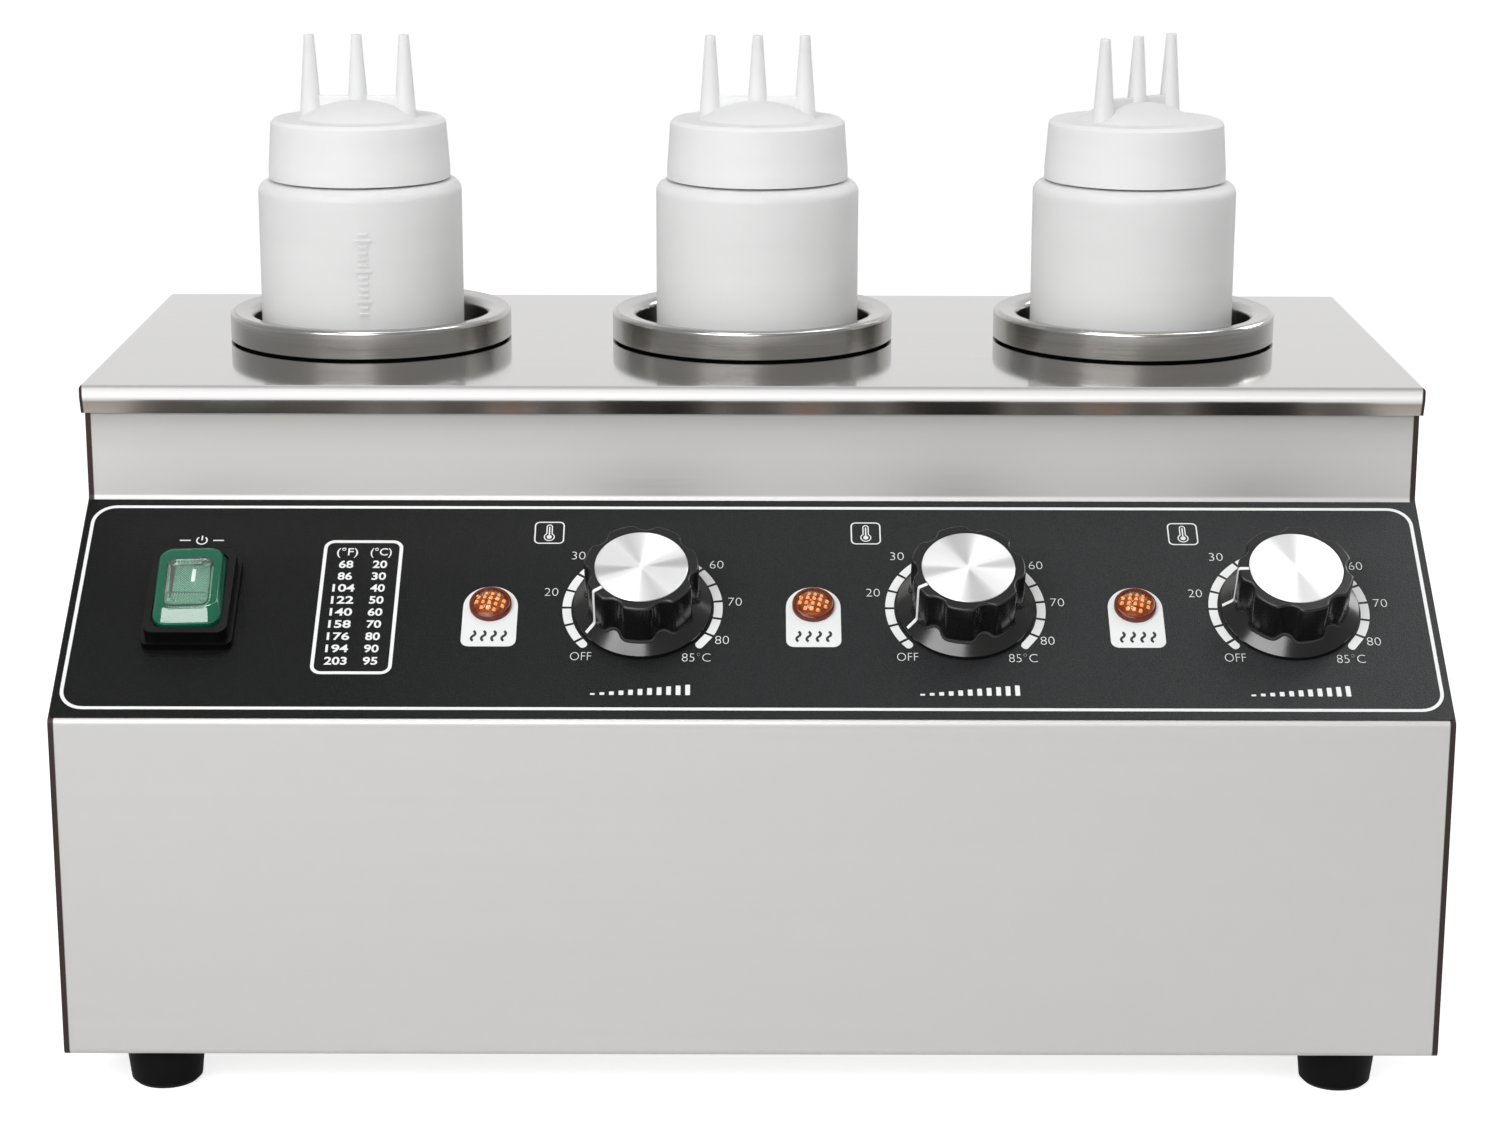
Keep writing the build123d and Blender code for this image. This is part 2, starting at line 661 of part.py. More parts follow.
def pilot_lamps():
    """Lamp barrels behind the lenses, each with two solder tabs."""
    with BuildPart() as lamps:
        for x in LAMP_X:
            with BuildSketch(on_panel(x, LAMP_S, OVERLAY)):
                Circle(BARREL_R)
            extrude(amount=-BARREL_LEN)
            with BuildSketch(on_panel(x, LAMP_S, OVERLAY)):
                Circle(4.4)
            extrude(amount=2.2)
            with BuildSketch(on_panel(x, LAMP_S, OVERLAY - BARREL_LEN)):
                with Locations((-3, 0), (3, 0)):
                    Rectangle(0.8, 2.8)
            extrude(amount=-7)
    return lamps.part


def pilot_nuts():
    """Hexagon nuts that hold the lamps behind the panel."""
    with BuildPart() as nuts:
        for x in LAMP_X:
            with BuildSketch(on_panel(x, LAMP_S, -SHEET)):
                hexagon_across_flats(17)
                Circle(BARREL_R, mode=Mode.SUBTRACT)
            extrude(amount=-4)
    return nuts.part


for number, x in enumerate(LAMP_X, start=1):
    save(pilot_lens(x), f"pilot_lens_{number}")
save(pilot_lamps(), "pilot_lamps")
save(pilot_nuts(), "pilot_nuts")

# ================================================================ power switch
FRAME_SIZE = (33.0, 43.6)     # flange on the panel
COLLAR_SIZE = (30.4, 41.4)
COLLAR_TOP = 9.0
BOOT_SIZE = (25.0, 36.1)
BOOT_BASE = 8.0
BOOT_TOP = 13.6
BOOT_WALL = 0.8
ROCKER_OPENING = (22.6, 34.0)
ROCKER_SIZE = (20.0, 28.4)
ROCKER_PIVOT_H = 2.0          # pivot above the panel
ROCKER_TILT = 9.0             # each side of level; the photographed side is ON
PIN_R = 1.5


def pivot_plane(offset_x, tip=0.0):
    """Plane across the rocker's pivot, up the slope, tipped into the panel."""
    origin = on_panel(SWITCH_X + offset_x, SWITCH_S, ROCKER_PIVOT_H).origin
    up_slope = PANEL.y_dir * cos(radians(tip)) - PANEL.z_dir * sin(radians(tip))
    return Plane(origin=origin, x_dir=up_slope, z_dir=(1, 0, 0))


def switch_housing():
    """Black housing: flange and raised collar outside, square body behind."""
    with BuildPart() as housing:
        with BuildSketch(on_panel(SWITCH_X, SWITCH_S, OVERLAY)):
            RectangleRounded(*FRAME_SIZE, 3)
        extrude(amount=3)
        with BuildSketch(on_panel(SWITCH_X, SWITCH_S, OVERLAY)):
            RectangleRounded(*COLLAR_SIZE, 4)
        extrude(amount=COLLAR_TOP - OVERLAY)
        with BuildSketch(on_panel(SWITCH_X, SWITCH_S, OVERLAY)):
            RectangleRounded(SWITCH_HOLE[0] - 0.4, SWITCH_HOLE[1] - 0.4, 1.5)
        extrude(amount=-27)
        with BuildSketch(on_panel(SWITCH_X, SWITCH_S, BOOT_BASE)):
            RectangleRounded(BOOT_SIZE[0] + 0.4, BOOT_SIZE[1] + 0.4, 4.2)
        extrude(amount=COLLAR_TOP, mode=Mode.SUBTRACT)
        with BuildSketch(on_panel(SWITCH_X, SWITCH_S, -12)):
            RectangleRounded(*ROCKER_OPENING, 1.5)
        extrude(amount=12 + COLLAR_TOP, mode=Mode.SUBTRACT)
        with BuildSketch(pivot_plane(-ROCKER_OPENING[0] / 2 - 1)):
            Circle(PIN_R + 0.05)
        extrude(amount=ROCKER_OPENING[0] + 2, mode=Mode.SUBTRACT)
    return housing.part


def switch_rocker():
    """Green rocker with a dished face, tipped to ON, on two pivot pins."""
    half = ROCKER_SIZE[1] / 2
    with BuildPart() as rocker:
        with BuildSketch(pivot_plane(0, ROCKER_TILT)):
            Polygon((-half, 5.6), (-half + 0.8, 6.4), (0, 4.2), (half - 0.8, 6.4),
                    (half, 5.6), (half - 2.5, -3), (0, -6), (-half + 2.5, -3), align=None)
        extrude(amount=ROCKER_SIZE[0] / 2, both=True)
        with BuildSketch(pivot_plane(-ROCKER_OPENING[0] / 2 - 0.8)):
            Circle(PIN_R)
        extrude(amount=ROCKER_OPENING[0] + 1.6)
    return rocker.part


def switch_boot():
    """Clear splash boot over the rocker, a thin soft shell with sloping walls."""
    slope_in = 2.0
    with BuildPart() as boot:
        with BuildSketch(on_panel(SWITCH_X, SWITCH_S, BOOT_BASE)):
            RectangleRounded(*BOOT_SIZE, 4)
        with BuildSketch(on_panel(SWITCH_X, SWITCH_S, BOOT_TOP)):
            RectangleRounded(BOOT_SIZE[0] - slope_in, BOOT_SIZE[1] - slope_in, 4)
        loft()
        top = boot.edges().group_by(Axis(PANEL.origin, PANEL.z_dir))[-1]
        fillet(top, 1.2)
        with BuildSketch(on_panel(SWITCH_X, SWITCH_S, BOOT_BASE)):
            RectangleRounded(BOOT_SIZE[0] - 2 * BOOT_WALL, BOOT_SIZE[1] - 2 * BOOT_WALL, 3.4)
        with BuildSketch(on_panel(SWITCH_X, SWITCH_S, BOOT_TOP - BOOT_WALL)):
            RectangleRounded(BOOT_SIZE[0] - slope_in - 2 * BOOT_WALL,
                             BOOT_SIZE[1] - slope_in - 2 * BOOT_WALL, 3.4)
        loft(mode=Mode.SUBTRACT)
    return boot.part


def switch_terminals():
    """Four brass tabs at the back of the switch."""
    with BuildPart() as tabs:
        with BuildSketch(on_panel(SWITCH_X, SWITCH_S, OVERLAY - 27)):
            with GridLocations(12, 18, 2, 2):
                Rectangle(0.8, 6.3)
        extrude(amount=-9)
    return tabs.part


save(switch_housing(), "switch_housing")
save(switch_rocker(), "switch_rocker")
save(switch_boot(), "switch_boot")
save(switch_terminals(), "switch_terminals")

# ================================================================ wiring
BLOCK_X = 170.0
BLOCK_Y = BACK_Y - 37
BLOCK_SIZE = (44.0, 24.0, 18.0)
LOOM_R = 3.0
LEAD_R = 1.5


def terminal_block():
    """Screw terminal block on the base plate, beside the gland."""
    with BuildPart() as block:
        with BuildSketch(Plane.XY.offset(FLOOR_Z)):
            with Locations((BLOCK_X, BLOCK_Y)):
                Rectangle(*BLOCK_SIZE[:2])
        extrude(amount=BLOCK_SIZE[2])
        with BuildSketch(Plane.XY.offset(FLOOR_Z + BLOCK_SIZE[2])):
            with Locations((BLOCK_X, BLOCK_Y)):
                with GridLocations(13, 12, 3, 2):
                    Circle(2.6)
        extrude(amount=-7, mode=Mode.SUBTRACT)
    return block.part


def earth_stud():
    """Earth screw through the base plate, with its nut."""
    return placed(turned([(0, FOOT_H - 2.6), (4.2, FOOT_H - 2.6), (4.2, BASE_Z - 0.1),
                          (M5_R, BASE_Z - 0.1), (M5_R, FLOOR_Z + 0.1), (4.6, FLOOR_Z + 0.1),
                          (4.6, FLOOR_Z + 4), (M5_R, FLOOR_Z + 4), (M5_R, FLOOR_Z + 14),
                          (0, FLOOR_Z + 14)]), [(EARTH_X, EARTH_Y, 0)])


def tube(points, radius, bend):
    """Round wire along straight runs joined by arcs."""
    with BuildPart() as wire:
        with BuildLine() as route:
            FilletPolyline(*points, radius=bend)
        with BuildSketch(Plane(origin=route.line @ 0, z_dir=route.line % 0)):
            Circle(radius)
        sweep(path=route.line)
    return wire.part


def wiring_loom():
    """Sleeved loom from the terminal block to the switch, and a lead to each heater."""
    back = on_panel(SWITCH_X, SWITCH_S, -36.8).origin
    loom_z = FLOOR_Z + 9
    pieces = [tube([(BLOCK_X - BLOCK_SIZE[0] / 2 - 1.5, BLOCK_Y, loom_z + 3),
                    (BLOCK_X - 62, BLOCK_Y + 6, loom_z), (-120, 70, loom_z + 1),
                    (SWITCH_X, back.Y + 30, loom_z + 2), (SWITCH_X - 2, back.Y + 20, 100),
                    (SWITCH_X, back.Y, back.Z)], LOOM_R, 14)]
    for well_x, knob_x in zip(WELL_X, KNOB_X):
        port = on_panel(knob_x + 6, DIAL_S, -SHEET - 27).origin
        pieces.append(tube([(knob_x + 6, port.Y, port.Z), (knob_x + 6, port.Y + 18, 122),
                            (well_x + 2, -32, 119), (well_x, WELL_Y - HEATER_R - 1.5, 128),
                            (well_x, WELL_Y - HEATER_R - 1.6, HEATER_LOW_Z)], LEAD_R, 6))
    with BuildPart() as loom:
        add(pieces)
    return loom.part


save(terminal_block(), "terminal_block")
save(earth_stud(), "earth_stud")
save(wiring_loom(), "wiring_loom")

# ================================================================ squeeze bottles
CAP_BASE = 156.2              # lower edge of the cap, from the bottle's base
CAP_R = (35.9, 34.6)          # outside, at its lower and upper edge
CAP_BORE_R = 32.4
CAP_CEILING = 177.6
NOZZLE_R = (4.5, 2.0)         # outside, at base and tip
NOZZLE_BORE_R = (2.7, 0.9)
NOZZLE_BASE = CAP_TOP - 1.0
NOZZLE_BORE_BASE = 175.0      # below the cap's ceiling, so that each bore opens into the cap
CAP_DOME_R = 23.3
CAP_WALL = 1.6
CAP_WEB = 3.0                 # thickness of the web
CAP_WEB_ROUND = 0.6
NECK_THREAD_Z = 160.5
CAP_THREAD_Z = NECK_THREAD_Z + THREAD_PITCH / 2
BOTTLE_LIFT = 0.2             # clearance over the well's floor
BOTTLE_BASE_Z = WELL_FLOOR_Z + BOTTLE_LIFT


def thread_ridge(root_r, crest_r, start_z):
    """A helical ridge from root_r to crest_r, outwards or inwards."""
    root_width = 2.0
    crest_width = 1.0
    with BuildPart() as ridge:
        with BuildLine(Plane.XY.offset(start_z)) as path:
            Helix(pitch=THREAD_PITCH, height=THREAD_PITCH * THREAD_TURNS, radius=root_r)
        start = path.line @ 0
        depth = crest_r - root_r
        with BuildSketch(Plane(origin=start, x_dir=(1, 0, 0), z_dir=path.line % 0)):
            Polygon((-0.1 * depth, -root_width / 2), (depth, -crest_width / 2),
                    (depth, crest_width / 2), (-0.1 * depth, root_width / 2), align=None)
        sweep(path=path.line, is_frenet=True)
    return ridge.part


def bottle_body():
    """Blow-moulded bottle, round shoulder and open threaded neck."""
    with BuildPart() as bottle:
        with BuildSketch(Plane.XZ):
            with BuildLine():
                FilletPolyline((0, 0), (BOTTLE_R, 0), (BOTTLE_R, BOTTLE_SHOULDER),
                               (NECK_R, BOTTLE_SHOULDER + 0.6), (NECK_R, NECK_TOP),
                               radius=[4.0, 4.5, 1.0])
                offset(amount=BOTTLE_WALL, side=Side.LEFT)
            make_face()
        revolve(axis=Axis.Z)
        add(thread_ridge(NECK_R, NECK_R + 1.4, NECK_THREAD_Z))
    return bottle.part


def cap_dome(radius):
    """Height of the cap's dome at a distance from its middle."""
    return CAP_DOME - dome_drop(CAP_DOME_R, CAP_DOME - CAP_TOP, radius)


def cap_shell():
    """Outside of the screw cap: straight skirt, flat shoulder and a shallow dome."""
    with BuildPart() as shell:
        with BuildSketch(Plane.XZ):
            with BuildLine():
                Polyline((0, CAP_DOME), (0, CAP_BASE), (CAP_R[0], CAP_BASE), (CAP_R[0], CAP_BASE + 4),
                         (CAP_R[1], CAP_TOP - 1.4), (CAP_R[1] - 1.4, CAP_TOP),
                         (CAP_DOME_R, CAP_TOP))
                ThreePointArc((CAP_DOME_R, CAP_TOP), (CAP_DOME_R / 2, cap_dome(CAP_DOME_R / 2)),
                              (0, CAP_DOME))
            make_face()
        revolve(axis=Axis.Z)
    return shell.part


def cap_hollow():
    """Inside of the screw cap: threaded bore, flat ceiling and the dome's underside."""
    inner_r = CAP_DOME_R - CAP_WALL
    with BuildPart() as hollow:
        with BuildSketch(Plane.XZ):
            with BuildLine():
                Polyline((0, CAP_DOME - CAP_WALL), (0, CAP_BASE - 1), (CAP_BORE_R, CAP_BASE - 1),
                         (CAP_BORE_R, CAP_CEILING), (inner_r, CAP_CEILING))
                ThreePointArc((inner_r, CAP_CEILING),
                              (inner_r / 2, cap_dome(inner_r / 2) - CAP_WALL),
                              (0, CAP_DOME - CAP_WALL))
            make_face()
        revolve(axis=Axis.Z)
    return hollow.part


def nozzle_web():
    """Upright web with a flat top, from the first nozzle to the last."""
    with BuildPart() as web:
        with BuildSketch(Plane.XY.offset(NOZZLE_BASE)):
            Rectangle(2 * NOZZLE_PITCH, CAP_WEB)
        extrude(amount=CAP_WEB_TOP - NOZZLE_BASE)
        fillet(web.faces().sort_by(Axis.Z)[-1].edges().filter_by(Axis.X), CAP_WEB_ROUND)
    return web.part


def bottle_cap():
    """Screw cap with a domed top and three tapered nozzles in a row, joined by a web."""
    nozzle = turned([(0, NOZZLE_BASE), (NOZZLE_R[0], NOZZLE_BASE),
                     (NOZZLE_R[1], NOZZLE_TOP), (0, NOZZLE_TOP)])
    bore = turned([(0, NOZZLE_BORE_BASE), (NOZZLE_BORE_R[0], NOZZLE_BORE_BASE),
                   (NOZZLE_BORE_R[1], NOZZLE_TOP + 1), (0, NOZZLE_TOP + 1)])
    in_a_row = [(-NOZZLE_PITCH, 0, 0), (0, 0, 0), (NOZZLE_PITCH, 0, 0)]
    with BuildPart() as screw_cap:
        add(cap_shell())
        add(nozzle_web())
        with Locations(*in_a_row):
            add(nozzle)
        add(cap_hollow(), mode=Mode.SUBTRACT)
        with Locations(*in_a_row):
            add(bore, mode=Mode.SUBTRACT)
        add(thread_ridge(CAP_BORE_R, CAP_BORE_R - 1.5, CAP_THREAD_Z))
    return screw_cap.part


cap_seal = turned([(29.9, NECK_TOP + 0.3), (CAP_BORE_R - 0.3, NECK_TOP + 0.3),
                   (CAP_BORE_R - 0.3, CAP_CEILING - 0.3), (29.9, CAP_CEILING - 0.3)])
body = bottle_body()
cap = bottle_cap()
for number, (x, turn) in enumerate(zip(BOTTLE_X, NOZZLE_TURN), start=1):
    place = Location((x, WELL_Y, BOTTLE_BASE_Z), (0, 0, turn))
    save(placed(body, [place]), f"bottle_{number}")
    save(placed(cap, [place]), f"bottle_cap_{number}")
    save(placed(cap_seal, [place]), f"cap_seal_{number}")
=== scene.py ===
"""Dresses a three-well topping warmer: brushed steel, printed panel, dials and bottles.

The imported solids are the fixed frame. Every size here is in metres, in that frame:
+X to the right of the control panel, +Y to the back, +Z up, the table at z = 0.
"""

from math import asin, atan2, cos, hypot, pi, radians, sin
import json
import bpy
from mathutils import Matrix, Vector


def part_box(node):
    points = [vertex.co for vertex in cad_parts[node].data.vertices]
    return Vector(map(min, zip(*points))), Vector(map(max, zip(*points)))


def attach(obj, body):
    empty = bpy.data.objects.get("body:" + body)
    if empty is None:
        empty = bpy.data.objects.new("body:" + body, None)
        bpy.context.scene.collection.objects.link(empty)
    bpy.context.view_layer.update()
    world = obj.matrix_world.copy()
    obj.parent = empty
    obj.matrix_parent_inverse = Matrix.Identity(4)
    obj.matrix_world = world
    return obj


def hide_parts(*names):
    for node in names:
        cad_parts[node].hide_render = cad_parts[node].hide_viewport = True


bl_info = {
    "name": "Topping Warmer",
    "version": (1, 0, 0),
    "blender": (4, 5, 0),
    "location": "View3D > Sidebar > Warmer",
    "description": "Builds the finishes, prints and fine pieces of a three-well warmer",
    "category": "Add Mesh",
}

import bmesh
import bpy
from mathutils import Matrix, Vector

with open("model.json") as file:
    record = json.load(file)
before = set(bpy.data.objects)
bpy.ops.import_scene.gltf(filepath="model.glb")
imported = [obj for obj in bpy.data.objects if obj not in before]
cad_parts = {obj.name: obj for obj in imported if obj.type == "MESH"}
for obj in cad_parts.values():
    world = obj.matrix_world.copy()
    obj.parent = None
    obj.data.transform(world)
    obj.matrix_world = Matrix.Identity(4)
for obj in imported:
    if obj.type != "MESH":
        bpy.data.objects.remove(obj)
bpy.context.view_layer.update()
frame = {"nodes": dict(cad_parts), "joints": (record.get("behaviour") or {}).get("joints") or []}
NODES = frame["nodes"]

# ------------------------------------------------------------------ places from the frame
JOINTS = {joint["name"]: joint for joint in frame["joints"]}
KNOB_AT = [Vector(JOINTS[f"knob_{n}_turn"]["pos_m"]) for n in (1, 2, 3)]
BOTTLE_AT = [Vector(JOINTS[f"cap_{n}_unscrew"]["pos_m"]) for n in (1, 2, 3)]
PANEL_OUT = Vector(JOINTS["knob_1_turn"]["axis"]).normalized()
PANEL_UP = Vector((0, PANEL_OUT.z, -PANEL_OUT.y))
DIAL_S = 0.054                  # dial centres, up the slope from its lower bend
PANEL_FOOT = Vector((0, KNOB_AT[0].y, KNOB_AT[0].z)) - PANEL_UP * DIAL_S
FILM = 0.0005                   # thickness of the black membrane
LAMP_S = 0.055                  # lamp centres
SWITCH_AT = Vector(JOINTS["rocker_tip"]["pos_m"])
SWITCH_S = (SWITCH_AT - PANEL_FOOT).dot(PANEL_UP)
PIVOT_H = 0.002                 # the rocker's pivot above the panel
POINTER = (215.5, 208.5, 181.0)  # where each knob points, degrees
MARKS_FACE = (-83.0, 90.0, 92.0)  # where each bottle's filling marks face, degrees


def panel_matrix(x, s, h=0.0, turn=0.0):
    """Stands a piece modelled flat at the origin on the sloping panel."""
    place = PANEL_FOOT + PANEL_UP * s + PANEL_OUT * h + Vector((x, 0, 0))
    basis = Matrix((Vector((1, 0, 0)), PANEL_UP, PANEL_OUT)).transposed().to_4x4()
    return Matrix.Translation(place) @ basis @ Matrix.Rotation(turn, 4, "Z")


def numbered(name):
    """A name, or three of them where a # stands for their number."""
    return [name.replace("#", str(number)) for number in (1, 2, 3)] if "#" in name else [name]


def middle_of(node):
    """The middle of a node's box."""
    low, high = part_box(node)
    return (Vector(low) + Vector(high)) / 2


# ------------------------------------------------------------------ settings
def length(name, description, default):
    """A length setting, in metres."""
    return bpy.props.FloatProperty(name=name, description=description, default=default,
                                   unit="LENGTH", precision=5)


def colour(name, description, default):
    """A colour setting, as linear red, green and blue."""
    return bpy.props.FloatVectorProperty(name=name, description=description, default=default,
                                         subtype="COLOR", size=3, min=0.0, max=1.0)


def share(name, description, default):
    """A setting from 0 to 1."""
    return bpy.props.FloatProperty(name=name, description=description, default=default,
                                   subtype="FACTOR", min=0.0, max=1.0)


class WarmerFinishes(bpy.types.PropertyGroup):
    """Colours and polish of the warmer's materials."""
    steel: colour("Steel", "Brushed sheet of the housing", (0.59, 0.582, 0.571))
    steel_roughness: share("Steel roughness", "How satin the sheet is", 0.54)
    cover_roughness: share("Cover roughness", "How satin the top cover is", 0.09)
    collar: colour("Collar", "Spun steel of the wells", (0.44, 0.425, 0.41))
    film: colour("Membrane", "Grained black panel film", (0.0046, 0.0049, 0.0050))
    ink: colour("Ink", "White print on the panel", (0.80, 0.80, 0.80))
    knob: colour("Knob", "Glossy black moulding", (0.006, 0.006, 0.006))
    disc: colour("Disc", "Spun aluminium of the knob tops", (0.90, 0.90, 0.90))
    amber: colour("Amber", "Domes of the pilot lamps", (1.0, 0.74, 0.50))
    lens_ring: colour("Lens ring", "Moulded edge of the lenses", (0.12, 0.016, 0.004))
    reflector: colour("Reflector", "Floor under the lenses' studs", (0.22, 0.055, 0.012))
    studs: colour("Studs", "Moulded studs inside the lenses", (1.0, 0.66, 0.38))
    green: colour("Green", "Rocker of the power switch", (0.22, 0.55, 0.38))
    boot: colour("Boot", "Walls of the switch's boot", (0.0, 0.20, 0.10))
    plastic: colour("Bottle", "Milky squeeze-bottle plastic", (0.92, 0.92, 0.92))
    tag: colour("Tag", "Pale tags behind the pilot lamps", (0.76, 0.77, 0.77))
    # painted shade: the dark line down the sheet's folded corners stands for the fold's dark
    # reflection
    fold: colour("Fold", "Dull brown line of the sheet's folded corners", (0.045, 0.032, 0.030))
    rubber: colour("Rubber", "Feet and gaskets", (0.004, 0.004, 0.004))


class WarmerPrint(bpy.types.PropertyGroup):
    """Sizes of the print on the control panel."""
    line: length("Line", "Width of the printed lines", 0.0013)
    ink_height: length("Ink height", "How far the print stands on the film", 0.00006)
    border_x: length("Border half width", "Middle of the border line, from the centre", 0.2467)
    border_low: length("Border low", "Lower border line, up the slope", 0.0058)
    border_high: length("Border high", "Upper border line, up the slope", 0.1045)
    border_corner: length("Border corner", "Corner radius of the border", 0.009)
    table_x: length("Table centre", "Middle of the temperature table", -0.1443)
    table_s: length("Table height", "Middle of the table, up the slope", 0.05465)
    dial_inner: length("Dial inner", "Inside radius of the dial's blocks", 0.0261)
    dial_outer: length("Dial outer", "Outside radius of the dial's blocks", 0.0293)
    tag_width: length("Tag width", "Pale tag under each lamp", 0.020)
    tag_height: length("Tag height", "Pale tag under each lamp", 0.0291)
    tag_s: length("Tag place", "Middle of the tags, up the slope", 0.04975)
    waves_s: length("Waves place", "Middle of the heat waves, up the slope", 0.0402)
    power_s: length("Power sign place", "Middle of the sign, up the slope", 0.0875)
    digit_height: length("Digit height", "Numbers of the table", 0.00375)
    column_f: length("Fahrenheit column", "Its middle, from the centre", -0.1501)
    column_c: length("Celsius column", "Its middle, from the centre", -0.1376)
    table_first: length("First row", "Up the slope", 0.0754)
    table_pitch: length("Row pitch", "From row to row", 0.00591)
    pointer: length("Pointer", "Width of the white line on the knobs", 0.00125)
    facet_pitch: length("Facet pitch", "Grid inside the lenses", 0.0023)
    bottle_radius: length("Bottle radius", "Outside of the bottles", 0.0403)
    mark_height: length("Filling marks", "Height of the long middle mark", 0.2800)
    mark_pitch: length("Mark pitch", "From mark to mark", 0.0024)


class WarmerStage(bpy.types.PropertyGroup):
    """Camera and light."""
    focal: bpy.props.FloatProperty(name="Focal length", description="Camera lens", unit="CAMERA",
                                   default=79.68)
    distance: length("Distance", "Camera in front of the origin", 1.2847)
    height: length("Height", "Camera above the table", 0.4894)
    sideways: length("Sideways", "Camera to the right of the middle", -0.0016)
    pitch: bpy.props.FloatProperty(name="Pitch", description="How far the camera looks down",
                                   subtype="ANGLE", default=radians(14.254))
    yaw: bpy.props.FloatProperty(name="Yaw", description="How far the camera looks right",
                                 subtype="ANGLE", default=radians(0.067))
    roll: bpy.props.FloatProperty(name="Roll", description="How far the camera leans",
                                  subtype="ANGLE", default=radians(0.141))


# ------------------------------------------------------------------ modelling helpers
def begin(kind, name, **size):
    """Adds one primitive alone and opens it, all selected, in edit mode."""
    bpy.ops.object.select_all(action="DESELECT")
    getattr(bpy.ops.mesh, f"primitive_{kind}_add")(**size)
    piece = bpy.context.object
    piece.name = name
    bpy.ops.object.transform_apply(location=True, rotation=True, scale=True)
    bpy.ops.object.mode_set(mode="EDIT")
    select_mesh()
    return piece


def select_mesh():
    """Selects the whole mesh in edit mode."""
    bpy.ops.mesh.select_all(action="SELECT")


def pick(piece, kind, test):
    """Selects, in edit mode, only the vertices, edges or faces that pass a test."""
    bpy.ops.mesh.select_mode(type=kind)
    bpy.ops.mesh.select_all(action="DESELECT")
    mesh = bmesh.from_edit_mesh(piece.data)
    for part in {"VERT": mesh.verts, "EDGE": mesh.edges, "FACE": mesh.faces}[kind]:
        part.select = test(part)
    mesh.select_flush_mode()
    bmesh.update_edit_mesh(piece.data)


def pull(x, y, z):
    """Extrudes the selection by a step."""
    bpy.ops.mesh.extrude_region_move(TRANSFORM_OT_translate={"value": (x, y, z)})


def scaled(x, y, **about):
    """Scales the selection in its own plane."""
    bpy.ops.transform.resize(value=(x, y, 1), **about)


def round_corners(radius, segments):
    """Rounds the selected corners of a flat outline."""
    bpy.ops.mesh.bevel(offset=radius, segments=segments, affect="VERTICES")


def only(piece):
    """Makes one object the selected and active one."""
    bpy.ops.object.select_all(action="DESELECT")
    piece.select_set(True)
    bpy.context.view_layer.objects.active = piece


def shaped(piece, kind, **settings):
    """Adds a modifier, sets it and applies it."""
    only(piece)
    modifier = piece.modifiers.new(kind.title(), kind)
    for setting, value in settings.items():
        setattr(modifier, setting, value)
    bpy.ops.object.modifier_apply(modifier=modifier.name)
    return piece


def close_edit():
    """Merges what touches, turns the faces outwards and leaves edit mode."""
    select_mesh()
    bpy.ops.mesh.remove_doubles(threshold=1e-6)
    bpy.ops.mesh.normals_make_consistent(inside=False)
    bpy.ops.object.mode_set(mode="OBJECT")


def placed(piece, matrix):
    """Moves a finished mesh to its place and leaves its object at the origin."""
    only(piece)
    piece.matrix_world = matrix
    bpy.ops.object.transform_apply(location=True, rotation=True, scale=True)
    return piece


def shifted(piece, x, y):
    """Moves a flat piece within its own plane."""
    return placed(piece, Matrix.Translation((x, y, 0)))


def joined(name, pieces):
    """Joins several meshes into one piece."""
    only(pieces[0])
    for piece in pieces:
        piece.select_set(True)
    bpy.ops.object.join()
    pieces[0].name = name
    return pieces[0]


def repeated(model, places):
    """Copies of a model with meshes of their own, one at each place, in its stead."""
    twins = []
    for place in places:
        twin = model.copy()
        twin.data = model.data.copy()
        bpy.context.scene.collection.objects.link(twin)
        twins.append(placed(twin, place))
    bpy.data.objects.remove(model)
    return twins


def handed_over(piece, use, body="root", stands_for=()):
    """Gives a piece its material, shading and body, and hides the nodes that it stands for."""
    only(piece)
    bpy.ops.object.shade_smooth_by_angle(angle=radians(40))
    piece.data.materials.clear()
    piece.data.materials.append(finishes()[use])
    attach(piece, body)
    if stands_for:
        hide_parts(*stands_for)


def set_out(model, places, use, body="root", stands_for=()):
    """Copies a model to its numbered places; a # in a body or node stands for the number."""
    name = model.name
    for number, piece in enumerate(repeated(model, places), start=1):
        piece.name = f"{name}_{number}"
        handed_over(piece, use, body.replace("#", str(number)),
                    [node.replace("#", str(number)) for node in stands_for])


def traced(name, points):
    """A line through points, extruded from one vertex, left selected in edit mode."""
    piece = begin("plane", name, size=0.0001, location=points[0])
    bpy.ops.mesh.select_mode(type="VERT")
    select_mesh()
    bpy.ops.mesh.merge(type="CENTER")
    for start, end in zip(points, points[1:]):
        pull(*(Vector(end) - Vector(start)))
    select_mesh()
    return piece


def turned(name, outline, steps, closed=False):
    """Spins an outline of (radius, height) corners about Z."""
    piece = traced(name, [(radius, 0, height) for radius, height in outline])
    if closed:
        bpy.ops.mesh.edge_face_add()
        bpy.ops.mesh.delete(type="ONLY_FACE")
        select_mesh()
    bpy.ops.mesh.spin(steps=steps, angle=2 * pi, center=(0, 0, 0), axis=(0, 0, 1))
    close_edit()
    return piece


def thickened(piece, thickness):
    """Pulls a flat outline up into a plate and closes it."""
    select_mesh()
    pull(0, 0, thickness)
    close_edit()
    return piece


def rounded_plate(name, width, height, corner, thickness, line=0.0, segments=8):
    """A thin rounded rectangle, or with a line width only its frame, lying on z = 0."""
    piece = begin("plane", name, size=1.0)
    scaled(width, height)
    if corner:
        round_corners(corner, segments)
    if line:
        select_mesh()
        bpy.ops.mesh.inset(thickness=line, depth=0)
        bpy.ops.mesh.delete(type="FACE")
    return thickened(piece, thickness)


